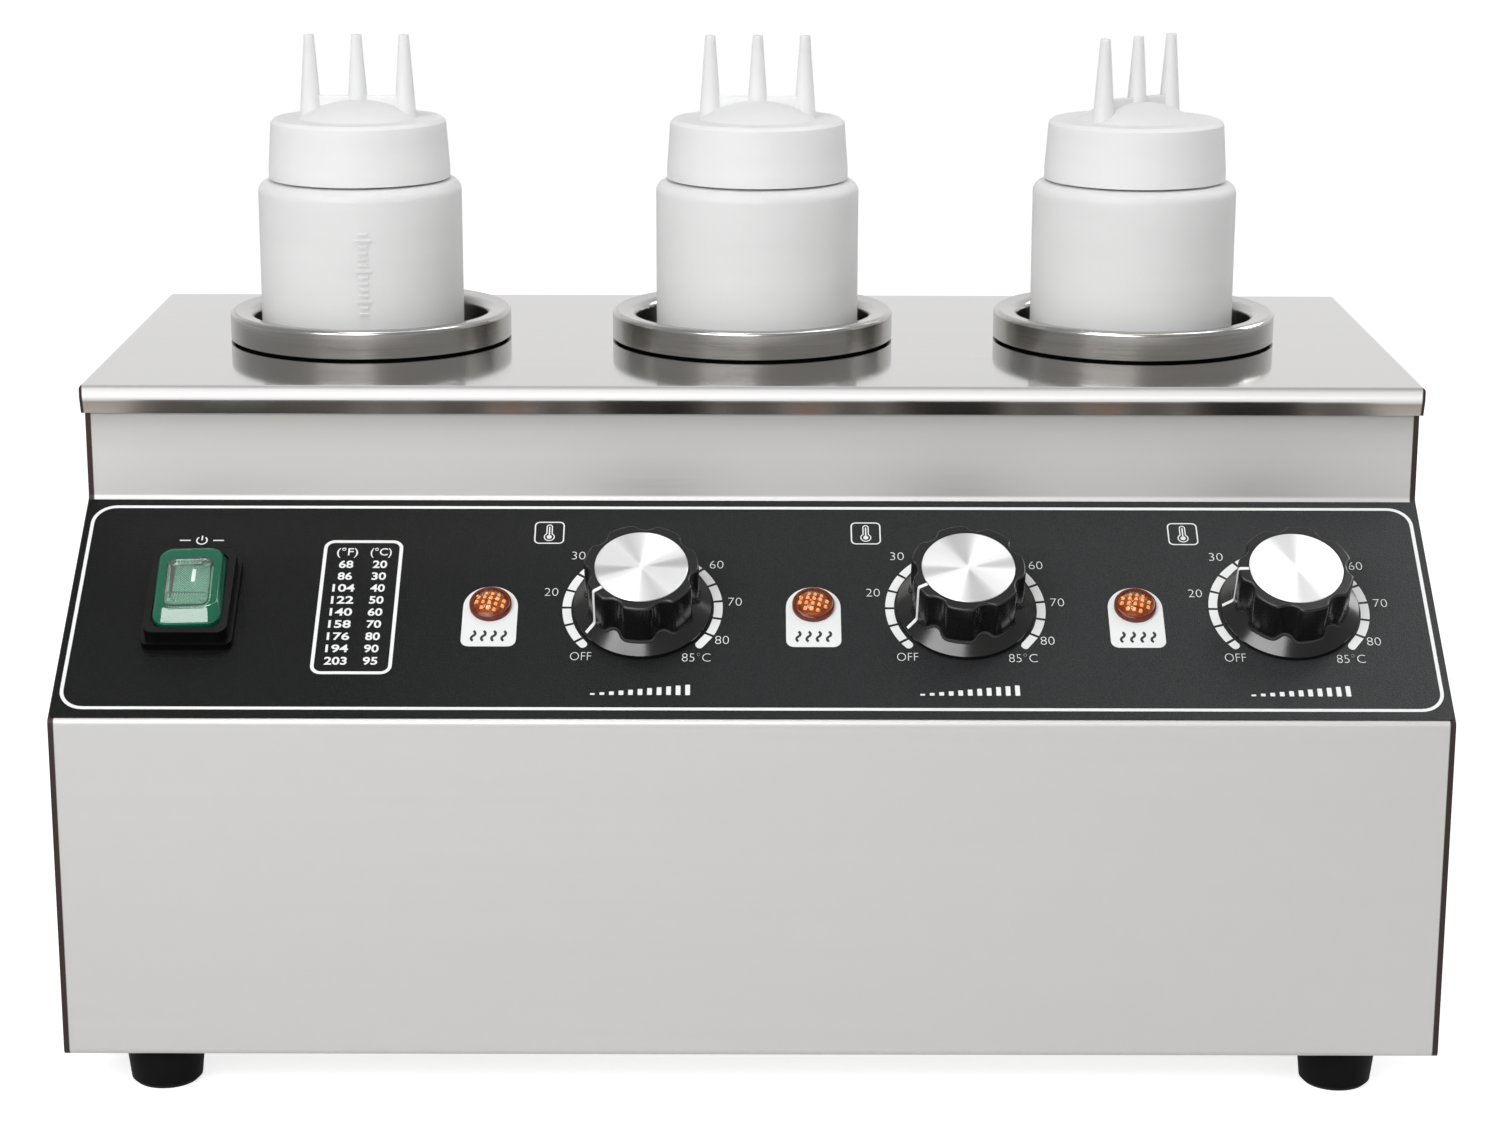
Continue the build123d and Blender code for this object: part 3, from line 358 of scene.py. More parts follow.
def arc_plate(name, inner, outer, start, sweep, thickness, steps=12, tip=None):
    """A flat stretch of a ring about the origin, counter-clockwise from a start angle.

    A tip, also an angle, rounds the end that stands there.
    """
    ray = Vector((cos(start), sin(start), 0))
    piece = traced(name, [ray * inner, ray * outer])
    bpy.ops.mesh.spin(steps=steps, angle=-sweep, center=(0, 0, 0), axis=(0, 0, 1))
    if tip is not None:
        end = Vector((cos(tip), sin(tip), 0))
        pick(piece, "VERT", lambda v: v.co.normalized().dot(end) > 1 - 1e-6)
        round_corners(0.45 * (outer - inner), 6)
    return thickened(piece, thickness)


def disc_plate(name, radius, thickness, segments=32):
    """A thin round plate on z = 0."""
    piece = begin("circle", name, vertices=segments, radius=radius, fill_type="NGON")
    return thickened(piece, thickness)


def ribbon(name, outline, width, thickness):
    """A strip of even width that follows an outline of (radius, height) corners."""
    piece = traced(name, [(radius, -width / 2, height) for radius, height in outline])
    pull(0, width, 0)
    close_edit()
    return shaped(piece, "SOLIDIFY", thickness=thickness, offset=0.0)


def dome_height(crown, rim, radius, at):
    """Height of a round dome at a distance from its middle."""
    rise = crown - rim
    ball = (radius ** 2 + rise ** 2) / (2 * rise)
    return crown - ball + (ball ** 2 - at ** 2) ** 0.5


def lettering(name, words, width, height, thickness, weight):
    """Raised characters scaled to a measured width and height, centred on the origin."""
    bpy.ops.object.select_all(action="DESELECT")
    bpy.ops.object.text_add()
    text = bpy.context.object
    text.data.body = words
    text.data.offset = weight
    text.data.resolution_u = 4
    text.data.extrude = 0.5
    bpy.ops.object.convert(target="MESH")
    piece = bpy.context.object
    piece.name = name
    corners = [Vector(corner) for corner in piece.bound_box]
    low = Vector([min(c[i] for c in corners) for i in range(3)])
    high = Vector([max(c[i] for c in corners) for i in range(3)])
    middle = (low + high) / 2
    size = high - low
    scale = Matrix.Diagonal((width / size.x, height / size.y, thickness / size.z, 1))
    centred = Matrix.Translation((-middle.x, -middle.y, -low.z))
    return placed(piece, scale @ centred)


# ------------------------------------------------------------------ materials
WHITE = (1, 1, 1, 1)


class Graph:
    """The nodes of one material or of the world, with short ways to add to them."""

    def __init__(self, owner):
        owner.use_nodes = True
        self.owner, self.nodes, self.links = owner, owner.node_tree.nodes, owner.node_tree.links

    def feed(self, socket, value):
        """Links another node's output to a socket, or sets its plain value."""
        if isinstance(value, bpy.types.NodeSocket):
            self.links.new(value, socket)
        else:
            socket.default_value = value

    def add(self, kind, inputs, output=0, **settings):
        """Adds a node, sets it, feeds its inputs and gives one of its outputs."""
        node = self.nodes.new(f"ShaderNode{kind}")
        for setting, value in settings.items():
            setattr(node, setting, value)
        for socket, value in inputs.items():
            self.feed(node.inputs[socket], value)
        return node.outputs[output]

    def wear(self, looks):
        """Feeds the Principled shader's sockets, each by its name."""
        for socket, value in looks.items():
            self.feed(self.nodes["Principled BSDF"].inputs[socket], value)
        return self

    def worn(self, socket):
        """What feeds one of the shader's sockets so far."""
        return self.nodes["Principled BSDF"].inputs[socket].links[0].from_socket

    def object_place(self):
        """Object coordinates."""
        return self.add("TexCoord", {}, "Object")

    def stretched(self, scale, turn=(0, 0, 0)):
        """Object coordinates stretched by a scale along each axis."""
        return self.add("Mapping", {"Vector": self.object_place(), "Scale": scale,
                                    "Rotation": turn})

    def axis(self, name, vector=None):
        """One axis of a vector, or of the object coordinates."""
        return self.add("SeparateXYZ", {"Vector": vector or self.object_place()}, name)

    def facing(self, name):
        """One axis of the surface's normal."""
        return self.axis(name, self.add("NewGeometry", {}, "Normal"))

    def ray(self, kind):
        """One for rays of a kind, nought for the rest."""
        return self.add("LightPath", {}, f"Is {kind} Ray")

    def math(self, operation, *values):
        """One to three values worked into one."""
        return self.add("Math", dict(enumerate(values)), operation=operation)

    def vector(self, operation, *values, output="Vector"):
        """Vectors worked into one vector or value."""
        return self.add("VectorMath", dict(enumerate(values)), output, operation=operation)

    def noise(self, vector, scale=1.0, detail=3.0, rough=0.5):
        """Value noise read at a vector."""
        return self.add("TexNoise", {"Vector": vector, "Scale": scale, "Detail": detail,
                                     "Roughness": rough}, "Fac")

    def spread(self, value, low, high, from_low=0.3, from_high=0.7):
        """A value remapped to a range."""
        return self.add("MapRange", {"Value": value, "From Min": from_low,
                                     "From Max": from_high, "To Min": low, "To Max": high})

    def tinted(self, value, colours, stops=(0.0, 1.0)):
        """A value turned into colours."""
        node = self.nodes.new("ShaderNodeValToRGB")
        ramp = node.color_ramp.elements
        while len(ramp) < len(colours):
            ramp.new(0.5)
        for element, stop, tint in zip(ramp, stops, colours):
            element.position = stop
            element.color = (*tint, 1)
        self.feed(node.inputs["Fac"], value)
        return node.outputs["Color"]

    def shades(self, value, tint, low, high):
        """A value turned into darker and lighter shades of a tint."""
        return self.tinted(value, (dimmer(tint, low), dimmer(tint, high)), (0.3, 0.7))

    def mixed(self, factor, first, second, blend="MIX"):
        """Two colours mixed."""
        return self.add("Mix", {"Factor": factor, "A": first, "B": second}, "Result",
                        data_type="RGBA", blend_type=blend)

    def bump(self, value, strength, distance):
        """A normal raised by a value."""
        return self.add("Bump", {"Height": value, "Strength": strength, "Distance": distance})


def new_finish(name):
    """The graph of a new material."""
    return Graph(bpy.data.materials.new(name))


def dimmer(tint, amount):
    """A colour scaled."""
    return tuple(channel * amount for channel in tint)


def brushed(name, tint, roughness, grain=(6, 900, 900), contrast=0.05, bump=0.04,
            metallic=1.0):
    """Metal with fine brush lines along its first grain axis and faint cloudy wear."""
    finish = new_finish(name)
    lines = finish.noise(finish.stretched(grain), detail=4.0, rough=0.6)
    cloud = finish.noise(finish.stretched((7, 7, 7)))
    return finish.wear({
        "Metallic": metallic,
        "Base Color": finish.shades(lines, tint, 1 - contrast, 1 + contrast),
        "Roughness": finish.math("ADD", finish.spread(lines, 0.9 * roughness, 1.1 * roughness),
                                 finish.spread(cloud, -0.01, 0.02)),
        "Normal": finish.bump(lines, bump, 0.0002)})


def folded(finish, half, fold):
    """Paints shade: a dark line, standing for the dark reflection in the fold, down both ends of
    a sheet's front faces.
    """
    # painted shade: a dark colour near each end of the front faces, in place of the bend's
    # reflection
    at_end = finish.spread(finish.math("ABSOLUTE", finish.axis("X")), 0, 1, half - 0.0013,
                           half - 0.0009)
    line = finish.math("MULTIPLY", at_end, finish.spread(finish.facing("Y"), 1, 0, -0.5, -0.4))
    return finish.wear({"Base Color": finish.mixed(line, finish.worn("Base Color"), (*fold, 1))})


def along_z(finish, low, high, tints, stops):
    """Multiplies a finish's colour by tints that follow the height between two levels."""
    band = finish.tinted(finish.spread(finish.axis("Z"), 0, 1, low, high), tints, stops)
    return finish.wear({"Base Color": finish.mixed(1.0, finish.worn("Base Color"), band,
                                                   "MULTIPLY")})


def shaded(finish, top, deep=0.016):
    """Paints a shadow on the sheet just under the cover's edge, darkest right under it."""
    return along_z(finish, top - deep, top, ((1, 1, 1), (0.9, 0.9, 0.9), (0.66, 0.66, 0.65)),
                   (0.0, 0.55, 1.0))


def rolled(finish, top, deep=0.0112):
    """Paints a highlight on the roll of the cover's edge and paints shade on the part tucked in
    below it.
    """
    return along_z(finish, top - deep, top,
                   ((0.80, 0.73, 0.68), (0.66, 0.59, 0.55), (1.25, 1.25, 1.25),
                    (1.9, 1.9, 1.92), (1.5, 1.5, 1.5), (0.75, 0.75, 0.75), (1, 1, 1)),
                   (0.0, 0.40, 0.48, 0.64, 0.84, 0.94, 0.99))


def cover_steel(tint, roughness, edge_roughness=0.2):
    """Brushed sheet that is polished on its flat top and satin on its turned-down edges."""
    finish = brushed("cover_steel", tint, roughness, contrast=0.03, bump=0.01)
    edge = finish.spread(finish.facing("Z"), edge_roughness, 0, 0.5, 0.95)
    return finish.wear({"Roughness": finish.math("MAXIMUM", finish.worn("Roughness"), edge)})


def moulded(name, tint, roughness, grain=2500, bump=0.02, specular=0.5, contrast=0.08,
            glow=0.0):
    """Plastic or rubber with a fine moulded grain, and a faint light of its own."""
    finish = new_finish(name)
    fine = finish.noise(finish.stretched((grain, grain, grain)), detail=2.0)
    cloud = finish.noise(finish.stretched((40, 40, 40)))
    return finish.wear({
        "Base Color": finish.shades(cloud, tint, 1 - contrast, 1 + contrast),
        "Roughness": finish.spread(cloud, roughness - 0.03, roughness + 0.04),
        "Specular IOR Level": specular,
        "Emission Color": (*tint, 1),
        "Emission Strength": glow,
        "Normal": finish.bump(fine, bump, 0.0002)})


def panel_film(tint):
    """Black membrane with a leathery grain, and a painted sheen that makes it paler towards its
    right end.
    """
    finish = new_finish("panel_film")
    place = finish.object_place()
    cells = finish.add("TexVoronoi", {"Vector": place, "Scale": 900}, "Distance",
                       feature="DISTANCE_TO_EDGE")
    fine = finish.noise(place, scale=2600, detail=2.0)
    # painted sheen: the film's colour grows paler to the right, in place of a lamp's broad
    # reflection
    painted_sheen = finish.spread(finish.axis("X"), 0, 1, -0.15, 0.25)
    return finish.wear({
        "Base Color": finish.mixed(painted_sheen, finish.shades(fine, tint, 0.6, 1.45),
                                   finish.shades(fine, tint, 4.5, 11.0)),
        "Roughness": finish.spread(fine, 0.30, 0.42),
        "Specular IOR Level": 0.11,
        "Normal": finish.bump(finish.spread(cells, 0, 1, 0.0, 0.25), 0.5, 0.0001)})


def white_ink(name, tint):
    """Screen print, a little thin in places."""
    return moulded(name, tint, 0.5, grain=3000, bump=0.05, contrast=0.03)


def see_through(name, tint, clearness, roughness, refraction):
    """Tinted clear plastic with faint moulding ripples."""
    finish = new_finish(name)
    ripple = finish.noise(finish.stretched((160, 160, 160)), detail=2.0)
    return finish.wear({
        "Base Color": finish.shades(ripple, tint, 0.96, 1.0),
        "Roughness": finish.spread(ripple, roughness, roughness + 0.03),
        "Transmission Weight": clearness,
        "IOR": refraction,
        "Normal": finish.bump(ripple, 0.05, 0.0003)})


def rocker_face(tint):
    """Green plastic with a fine grid of moulded dots along the panel's slope, and a painted glow
    of its own.
    """
    finish = new_finish("rocker_green")
    slope = atan2(-PANEL_OUT.y, PANEL_OUT.z)
    place = finish.stretched((1, 1, 1), turn=(-slope, 0, 0))
    checks = finish.add("TexChecker", {"Vector": place, "Scale": 2000}, "Fac")
    dots = finish.tinted(checks, (dimmer(tint, 0.35), dimmer(tint, 1.65)))
    return finish.wear({
        "Base Color": dots,
        # painted glow: the dotted face gives light of its own, though it is no lamp
        "Emission Color": dots,
        "Emission Strength": 0.3,
        "Roughness": finish.spread(checks, 0.22, 0.30, 0.0, 1.0),
        "Normal": finish.bump(checks, 0.3, 0.0001)})


def fan(finish, outward, angle, wide, narrow):
    """One along a line through the centre at an angle on the panel, nought away from it."""
    along = Vector((cos(radians(angle)), 0, 0)) + PANEL_UP * sin(radians(angle))
    line = finish.vector("DOT_PRODUCT", outward, along, output="Value")
    return finish.spread(finish.math("ABSOLUTE", line), 0, 1, cos(radians(wide)),
                         cos(radians(narrow)))


def spun(name, tint, centre, roughness=0.34, stretch=0.6):
    """Metal turned on a lathe: fine rings, painted pale and grey reflection fans and a drawn-out
    gloss.
    """
    finish = new_finish(name)
    arm = finish.vector("SUBTRACT", finish.object_place(), centre)
    outward = finish.vector("NORMALIZE", arm)
    distance = finish.vector("LENGTH", arm, output="Value")
    rings = finish.add("TexNoise", {"W": distance, "Scale": 4000, "Detail": 2.0}, "Fac",
                       noise_dimensions="1D")
    # painted reflection: grey wedges that a spun disc shows by reflecting its surroundings
    painted_fans = finish.math("MAXIMUM", fan(finish, outward, 103, 27, 6),
                       fan(finish, outward, 8, 13, 1))
    rings_and_painted_fans = finish.math("MULTIPLY_ADD", rings, 0.15, painted_fans)
    return finish.wear({
        "Metallic": 1.0,
        "Anisotropic": stretch,
        "Tangent": outward,
        "Base Color": finish.tinted(rings_and_painted_fans, (tint, dimmer(tint, 0.66)), (0.08, 1.0)),
        "Roughness": finish.spread(rings, roughness - 0.03, roughness + 0.03)})


def milky_plastic(tint):
    """Soft translucent bottle plastic with faint flow lines, and painted shade that makes it
    dimmer down in the wells.
    """
    finish = new_finish("milky_plastic")
    flow = finish.noise(finish.stretched((12, 12, 60)), detail=2.0)
    finish.wear({
        "Base Color": finish.shades(flow, tint, 0.98, 1.02),
        "Roughness": finish.spread(flow, 0.36, 0.44),
        "Transmission Weight": 0.15,
        "IOR": 1.3,
        "Subsurface Weight": 0.35,
        "Subsurface Radius": (0.01, 0.01, 0.01),
        "Subsurface Scale": 1.0})
    # painted shade: the bottle is darkened, a little greenish, low down where it stands in the
    # well
    return along_z(finish, 0.235, 0.275, ((0.87, 0.89, 0.88), (1, 1, 1)), (0.0, 1.0))


FINISH = {}


def finishes():
    """Makes every material once and keeps it under the name of its use."""
    if FINISH:
        return FINISH
    look = bpy.context.scene.warmer_finishes
    cover_low, cover_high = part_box("top_cover")
    made = {
        # steel: painted shadow under the cover's lip and painted dark fold lines down its ends
        "steel": folded(shaded(brushed("brushed_steel", look.steel, look.steel_roughness,
                                       contrast=0.02, bump=0.02, metallic=0.75), cover_low[2]),
                        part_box("front_panel")[1][0], look.fold),
        # cover: painted highlight and painted shade on its rolled edge, and painted dark fold
        # lines down its ends
        "cover": folded(rolled(cover_steel(dimmer(look.steel, 0.87), look.cover_roughness),
                               cover_high[2]), cover_high[0], look.fold),
        "collar": brushed("spun_steel", look.collar, 0.21, grain=(30, 30, 1500), bump=0.02),
        "film": panel_film(look.film),
        "ink": white_ink("white_ink", look.ink),
        "knob": moulded("knob_black", look.knob, 0.2, bump=0.004),
        "amber": see_through("amber_lens", look.amber, 1.0, 0.03, refraction=1.3),
        "lens_ring": moulded("lens_ring", look.lens_ring, 0.08, bump=0.005, specular=0.4,
                             glow=0.15),
        "reflector": moulded("lens_reflector", look.reflector, 0.25, bump=0.005, glow=0.25),
        "studs": moulded("lens_studs", look.studs, 0.1, bump=0.005, glow=0.35),
        "rocker": rocker_face(look.green),
        "rocker_edge": moulded("rocker_edge", (0.23, 0.22, 0.20), 0.3, bump=0.005),
        "boot_green": see_through("boot_green", look.boot, 0.5, 0.06, refraction=1.6),
        "boot_clear": see_through("boot_clear", (0.97, 1.0, 0.98), 1.0, 0.05, refraction=1.6),
        "tag": white_ink("tag_white", look.tag),
        # painted glow: the white on-mark gives light of its own, though it is no lamp
        "mark": moulded("mark_white_painted_glow", (0.95, 0.95, 0.95), 0.5, glow=0.9),
        "black_ink": moulded("black_ink", (0.006, 0.006, 0.006), 0.5),
        "switch": moulded("switch_black", (0.003, 0.003, 0.003), 0.3, bump=0.03, specular=0.2),
        "rubber": moulded("black_rubber", look.rubber, 0.6, grain=1800, bump=0.06,
                          specular=0.08),
        "plastic": milky_plastic(look.plastic),
        "zinc": brushed("zinc_plate", (0.55, 0.55, 0.53), 0.35, grain=(300, 300, 300)),
        "brass": brushed("bright_brass", (0.72, 0.5, 0.22), 0.28, grain=(300, 300, 300)),
        "heater": brushed("heat_tinted_steel", (0.38, 0.33, 0.26), 0.4, grain=(60, 60, 700),
                          contrast=0.15),
        "wool": moulded("mineral_wool", (0.50, 0.44, 0.30), 0.95, grain=700, bump=0.6,
                        contrast=0.25),
        "pale": moulded("pale_plastic", (0.60, 0.55, 0.44), 0.5),
        "silicone": moulded("silicone_rubber", (0.22, 0.03, 0.02), 0.5),
        "sleeving": moulded("woven_sleeving", (0.45, 0.45, 0.42), 0.8, grain=1600, bump=0.4),
    }
    for n in (1, 2, 3):
        made[f"disc_{n}"] = spun(f"spun_aluminium_{n}", look.disc, middle_of(f"knob_disc_{n}"))
    FINISH.update({use: finish.owner for use, finish in made.items()})
    return FINISH


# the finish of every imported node; a # stands for each of the numbers 1, 2 and 3
NODE_FINISH = {
    "steel": ["front_panel", "left_side_panel", "right_side_panel", "rear_panel", "base_plate"],
    "cover": ["top_cover"],
    "collar": ["well_#"],
    "film": ["panel_overlay"],
    "rubber": ["rubber_feet", "well_gaskets"],
    "zinc": ["foot_screws", "case_screws", "thermostat_screws", "clamp_bolts", "pilot_nuts",
             "thermostat_shaft_#"],
    "switch": ["cable_gland", "gland_cap", "gland_nut", "switch_housing"],
    "heater": ["heater_band_#"],
    "wool": ["insulation_sleeves"],
    "pale": ["thermostat_#", "pilot_lamps", "terminal_block"],
    "brass": ["sensing_bulb_#", "switch_terminals", "earth_stud"],
    "sleeving": ["wiring_loom"],
    "silicone": ["cap_seal_#"],
    "knob": ["knob_#"],
    "disc_1": ["knob_disc_1"], "disc_2": ["knob_disc_2"], "disc_3": ["knob_disc_3"],
    "amber": ["pilot_lens_#"],
    "boot_clear": ["switch_boot"],
    "rocker_edge": ["switch_rocker"],
    "plastic": ["bottle_#", "bottle_cap_#"],
}


# ------------------------------------------------------------------ operators
class WARMER_OT_housing(bpy.types.Operator):
    """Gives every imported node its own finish"""
    bl_idname = "warmer.housing"
    bl_label = "Housing finishes"

    def execute(self, context):
        for use, names in NODE_FINISH.items():
            for name in [each for name in names for each in numbered(name)]:
                NODES[name].data.materials.clear()
                NODES[name].data.materials.append(finishes()[use])
        return {"FINISHED"}


class WARMER_OT_panel_print(bpy.types.Operator):
    """Prints the border, the temperature table and the power sign on the panel"""
    bl_idname = "warmer.panel_print"
    bl_label = "Panel print"

    def execute(self, context):
        sizes = context.scene.warmer_print
        self.border(sizes)
        self.table(sizes)
        self.power_sign(sizes)
        return {"FINISHED"}

    def printed(self, piece, x, s):
        """Lays a flat print on the panel."""
        placed(piece, panel_matrix(x, s, FILM))
        handed_over(piece, "ink")

    def border(self, sizes):
        """Rounded line round the panel."""
        wide, high = 2 * sizes.border_x, sizes.border_high - sizes.border_low
        line = rounded_plate("border_line", wide + sizes.line, high + sizes.line,
                             sizes.border_corner, sizes.ink_height, line=sizes.line)
        self.printed(line, 0, (sizes.border_low + sizes.border_high) / 2)

    def table(self, sizes):
        """Celsius steps of the dial beside their Fahrenheit values, in a rounded frame."""
        frame_wide, frame_high, corner = 0.0294, 0.0657, 0.004
        head_wide, head_high, head_up = 0.0078, 0.005, 0.0058
        two_digits, three_digits = 0.0053, 0.0082
        ink, left, right = sizes.ink_height, sizes.column_f, sizes.column_c
        outline = rounded_plate("temperature_table", frame_wide, frame_high, corner, ink,
                                line=sizes.line)
        pieces = [shifted(outline, sizes.table_x, sizes.table_s)]
        for words, x in (("(°F)", left), ("(°C)", right)):
            head = lettering("table_head", words, head_wide, head_high, ink, 0.004)
            pieces.append(shifted(head, x, sizes.table_first + head_up))
        for row, celsius in enumerate((20, 30, 40, 50, 60, 70, 80, 90, 95)):
            s = sizes.table_first - row * sizes.table_pitch
            for value, x in ((round(celsius * 1.8 + 32), left), (celsius, right)):
                width = three_digits if value > 99 else two_digits
                number = lettering("table_number", str(value), width, sizes.digit_height, ink,
                                   0.022)
                pieces.append(shifted(number, x, s))
        self.printed(joined("temperature_table", pieces), 0, 0)

    def power_sign(self, sizes):
        """Ring open at the top with a bar in it, and a short line each side."""
        ink, radius, bar, gap = sizes.ink_height, 0.0019, 0.0005, radians(38)
        bar_high, bar_up, ring_up = 0.0023, 0.001, -0.0002
        dash_long, dash_out, left = 0.0040, 0.0062, 0.0003
        ring = arc_plate("power_sign", radius - bar / 2, radius + bar / 2, pi / 2 + gap,
                         2 * pi - 2 * gap, ink, steps=32)
        pieces = [shifted(ring, 0, ring_up),
                  shifted(rounded_plate("power_bar", bar, bar_high, 0, ink), 0, bar_up)]
        for side in (-1, 1):
            dash = rounded_plate("power_dash", dash_long, bar, 0, ink)
            pieces.append(shifted(dash, side * dash_out, ring_up))
        self.printed(joined("power_sign", pieces), SWITCH_AT.x - left, sizes.power_s)


class WARMER_OT_dials(bpy.types.Operator):
    """Prints a dial, a thermometer sign and a row of rising bars round each knob"""
    bl_idname = "warmer.dials"
    bl_label = "Dials"

    def execute(self, context):
        sizes = context.scene.warmer_print
        ink = sizes.ink_height
        pieces = self.blocks(sizes, ink) + self.labels(ink)
        pieces += self.bars(ink) + self.thermometer(ink)
        set_out(joined("dial_print", pieces),
                [panel_matrix(knob.x, DIAL_S, FILM) for knob in KNOB_AT], "ink")
        return {"FINISHED"}

    def blocks(self, sizes, ink):
        """Sixteen blocks of ring between fifteen narrow gaps."""
        inner, outer = sizes.dial_inner, sizes.dial_outer
        first, pitch, gaps, gap = radians(214.4), radians(17.3), 15, 0.00105
        half = gap / (inner + outer)
        block = arc_plate("dial_block", inner, outer, half, pitch - 2 * half, ink)
        pieces = repeated(block, [Matrix.Rotation(first - turn * pitch, 4, "Z")
                                  for turn in range(1, gaps)])
        hot, cold = radians(-43.5), radians(223)
        last = first - (gaps - 1) * pitch - half
        for start, end, tip in ((first + half, cold, cold), (hot, last, hot)):
            pieces.append(arc_plate("dial_end", inner, outer, start, end - start, ink, steps=1,
                                    tip=tip))
        return pieces

    def labels(self, ink):
        """Numbers outside the ring, placed by radius and angle, and the hot end below it."""
        high, wide, weight = 0.0038, 0.0050, -0.022
        rows = [("OFF", 0.0320, 227.0, 0.0076), ("20", 0.0345, 167.0, wide),
                ("30", 0.0356, 133.0, wide), ("40", 0.0350, 101.5, wide),
                ("50", 0.0322, 71.0, wide), ("60", 0.0345, 38.8, wide),
                ("70", 0.0339, 5.4, wide), ("80", 0.0330, -28.0, wide)]
        pieces = []
        for words, radius, angle, width in rows:
            label = lettering("dial_number", words, width, high, ink, weight)
            pieces.append(shifted(label, radius * cos(radians(angle)),
                                  radius * sin(radians(angle))))
        hot_wide, hot_high, hot_x, hot_y = 0.0103, 0.0040, 0.0199, -0.0238
        hottest = lettering("dial_number", "85°C", hot_wide, hot_high, ink, weight)
        pieces.append(shifted(hottest, hot_x, hot_y))
        return pieces

    def bars(self, ink):
        """Eleven bars, each taller than the one before, below the dial."""
        count, pitch, low, high = 11, 0.0034, 0.0008, 0.0048
        wide, corner, up = 0.0017, 0.0002, 0.0147 - DIAL_S
        pieces = []
        for step in range(count):
            tall = low + (high - low) * step / (count - 1)
            bar = rounded_plate("level_bar", wide, tall, corner, ink, segments=3)
            pieces.append(shifted(bar, (step - (count - 1) / 2) * pitch, up + (tall - high) / 2))
        return pieces

    def thermometer(self, ink):
        """A bulb and stem in outline with a full bulb inside, in a rounded square."""
        line, bulb, stem = 0.0004, 0.00185, 0.00098
        square, square_line, corner = 0.0112, 0.0005, 0.002
        mercury, thread, left, up = 0.00095, 0.0005, 0.0356, 0.0376
        meet = asin(stem / bulb)
        foot, top = -0.00215, 0.0030
        low = foot + bulb * cos(meet)
        pieces = [
            rounded_plate("sign_frame", square, square, corner, ink, line=square_line),
            shifted(arc_plate("sign_bulb", bulb - line / 2, bulb + line / 2, pi / 2 + meet,
                              2 * pi - 2 * meet, ink, steps=32), 0, foot),
            shifted(arc_plate("sign_top", stem - line / 2, stem + line / 2, 0, pi, ink), 0, top),
            shifted(disc_plate("sign_mercury", mercury, ink), 0, foot),
            shifted(rounded_plate("sign_thread", thread, top - foot, 0, ink), 0,
                    (top + foot) / 2),
        ]
        for side in (-1, 1):
            wall = rounded_plate("sign_wall", line, top - low, 0, ink)
            pieces.append(shifted(wall, side * stem, (top + low) / 2))
        return [shifted(joined("thermometer", pieces), -left, up)]


class WARMER_OT_knobs(bpy.types.Operator):
    """Lays a white pointer over each knob, from its skirt to its disc"""
    bl_idname = "warmer.knobs"
    bl_label = "Knob pointers"

    def execute(self, context):
        over_knob = [(0.0246, 0.00305), (0.0216, 0.0053), (0.02095, 0.0060), (0.0208, 0.0069),
                     (0.0208, 0.0222), (0.0206, 0.0227), (0.0201, 0.0229), (0.0171, 0.0229)]
        thickness = 0.00024
        pointer = ribbon("pointer", over_knob, context.scene.warmer_print.pointer, thickness)
        places = [panel_matrix(knob.x, DIAL_S, 0, radians(angle))
                  for knob, angle in zip(KNOB_AT, POINTER)]
        set_out(pointer, places, "ink", body="knob_#")
        return {"FINISHED"}


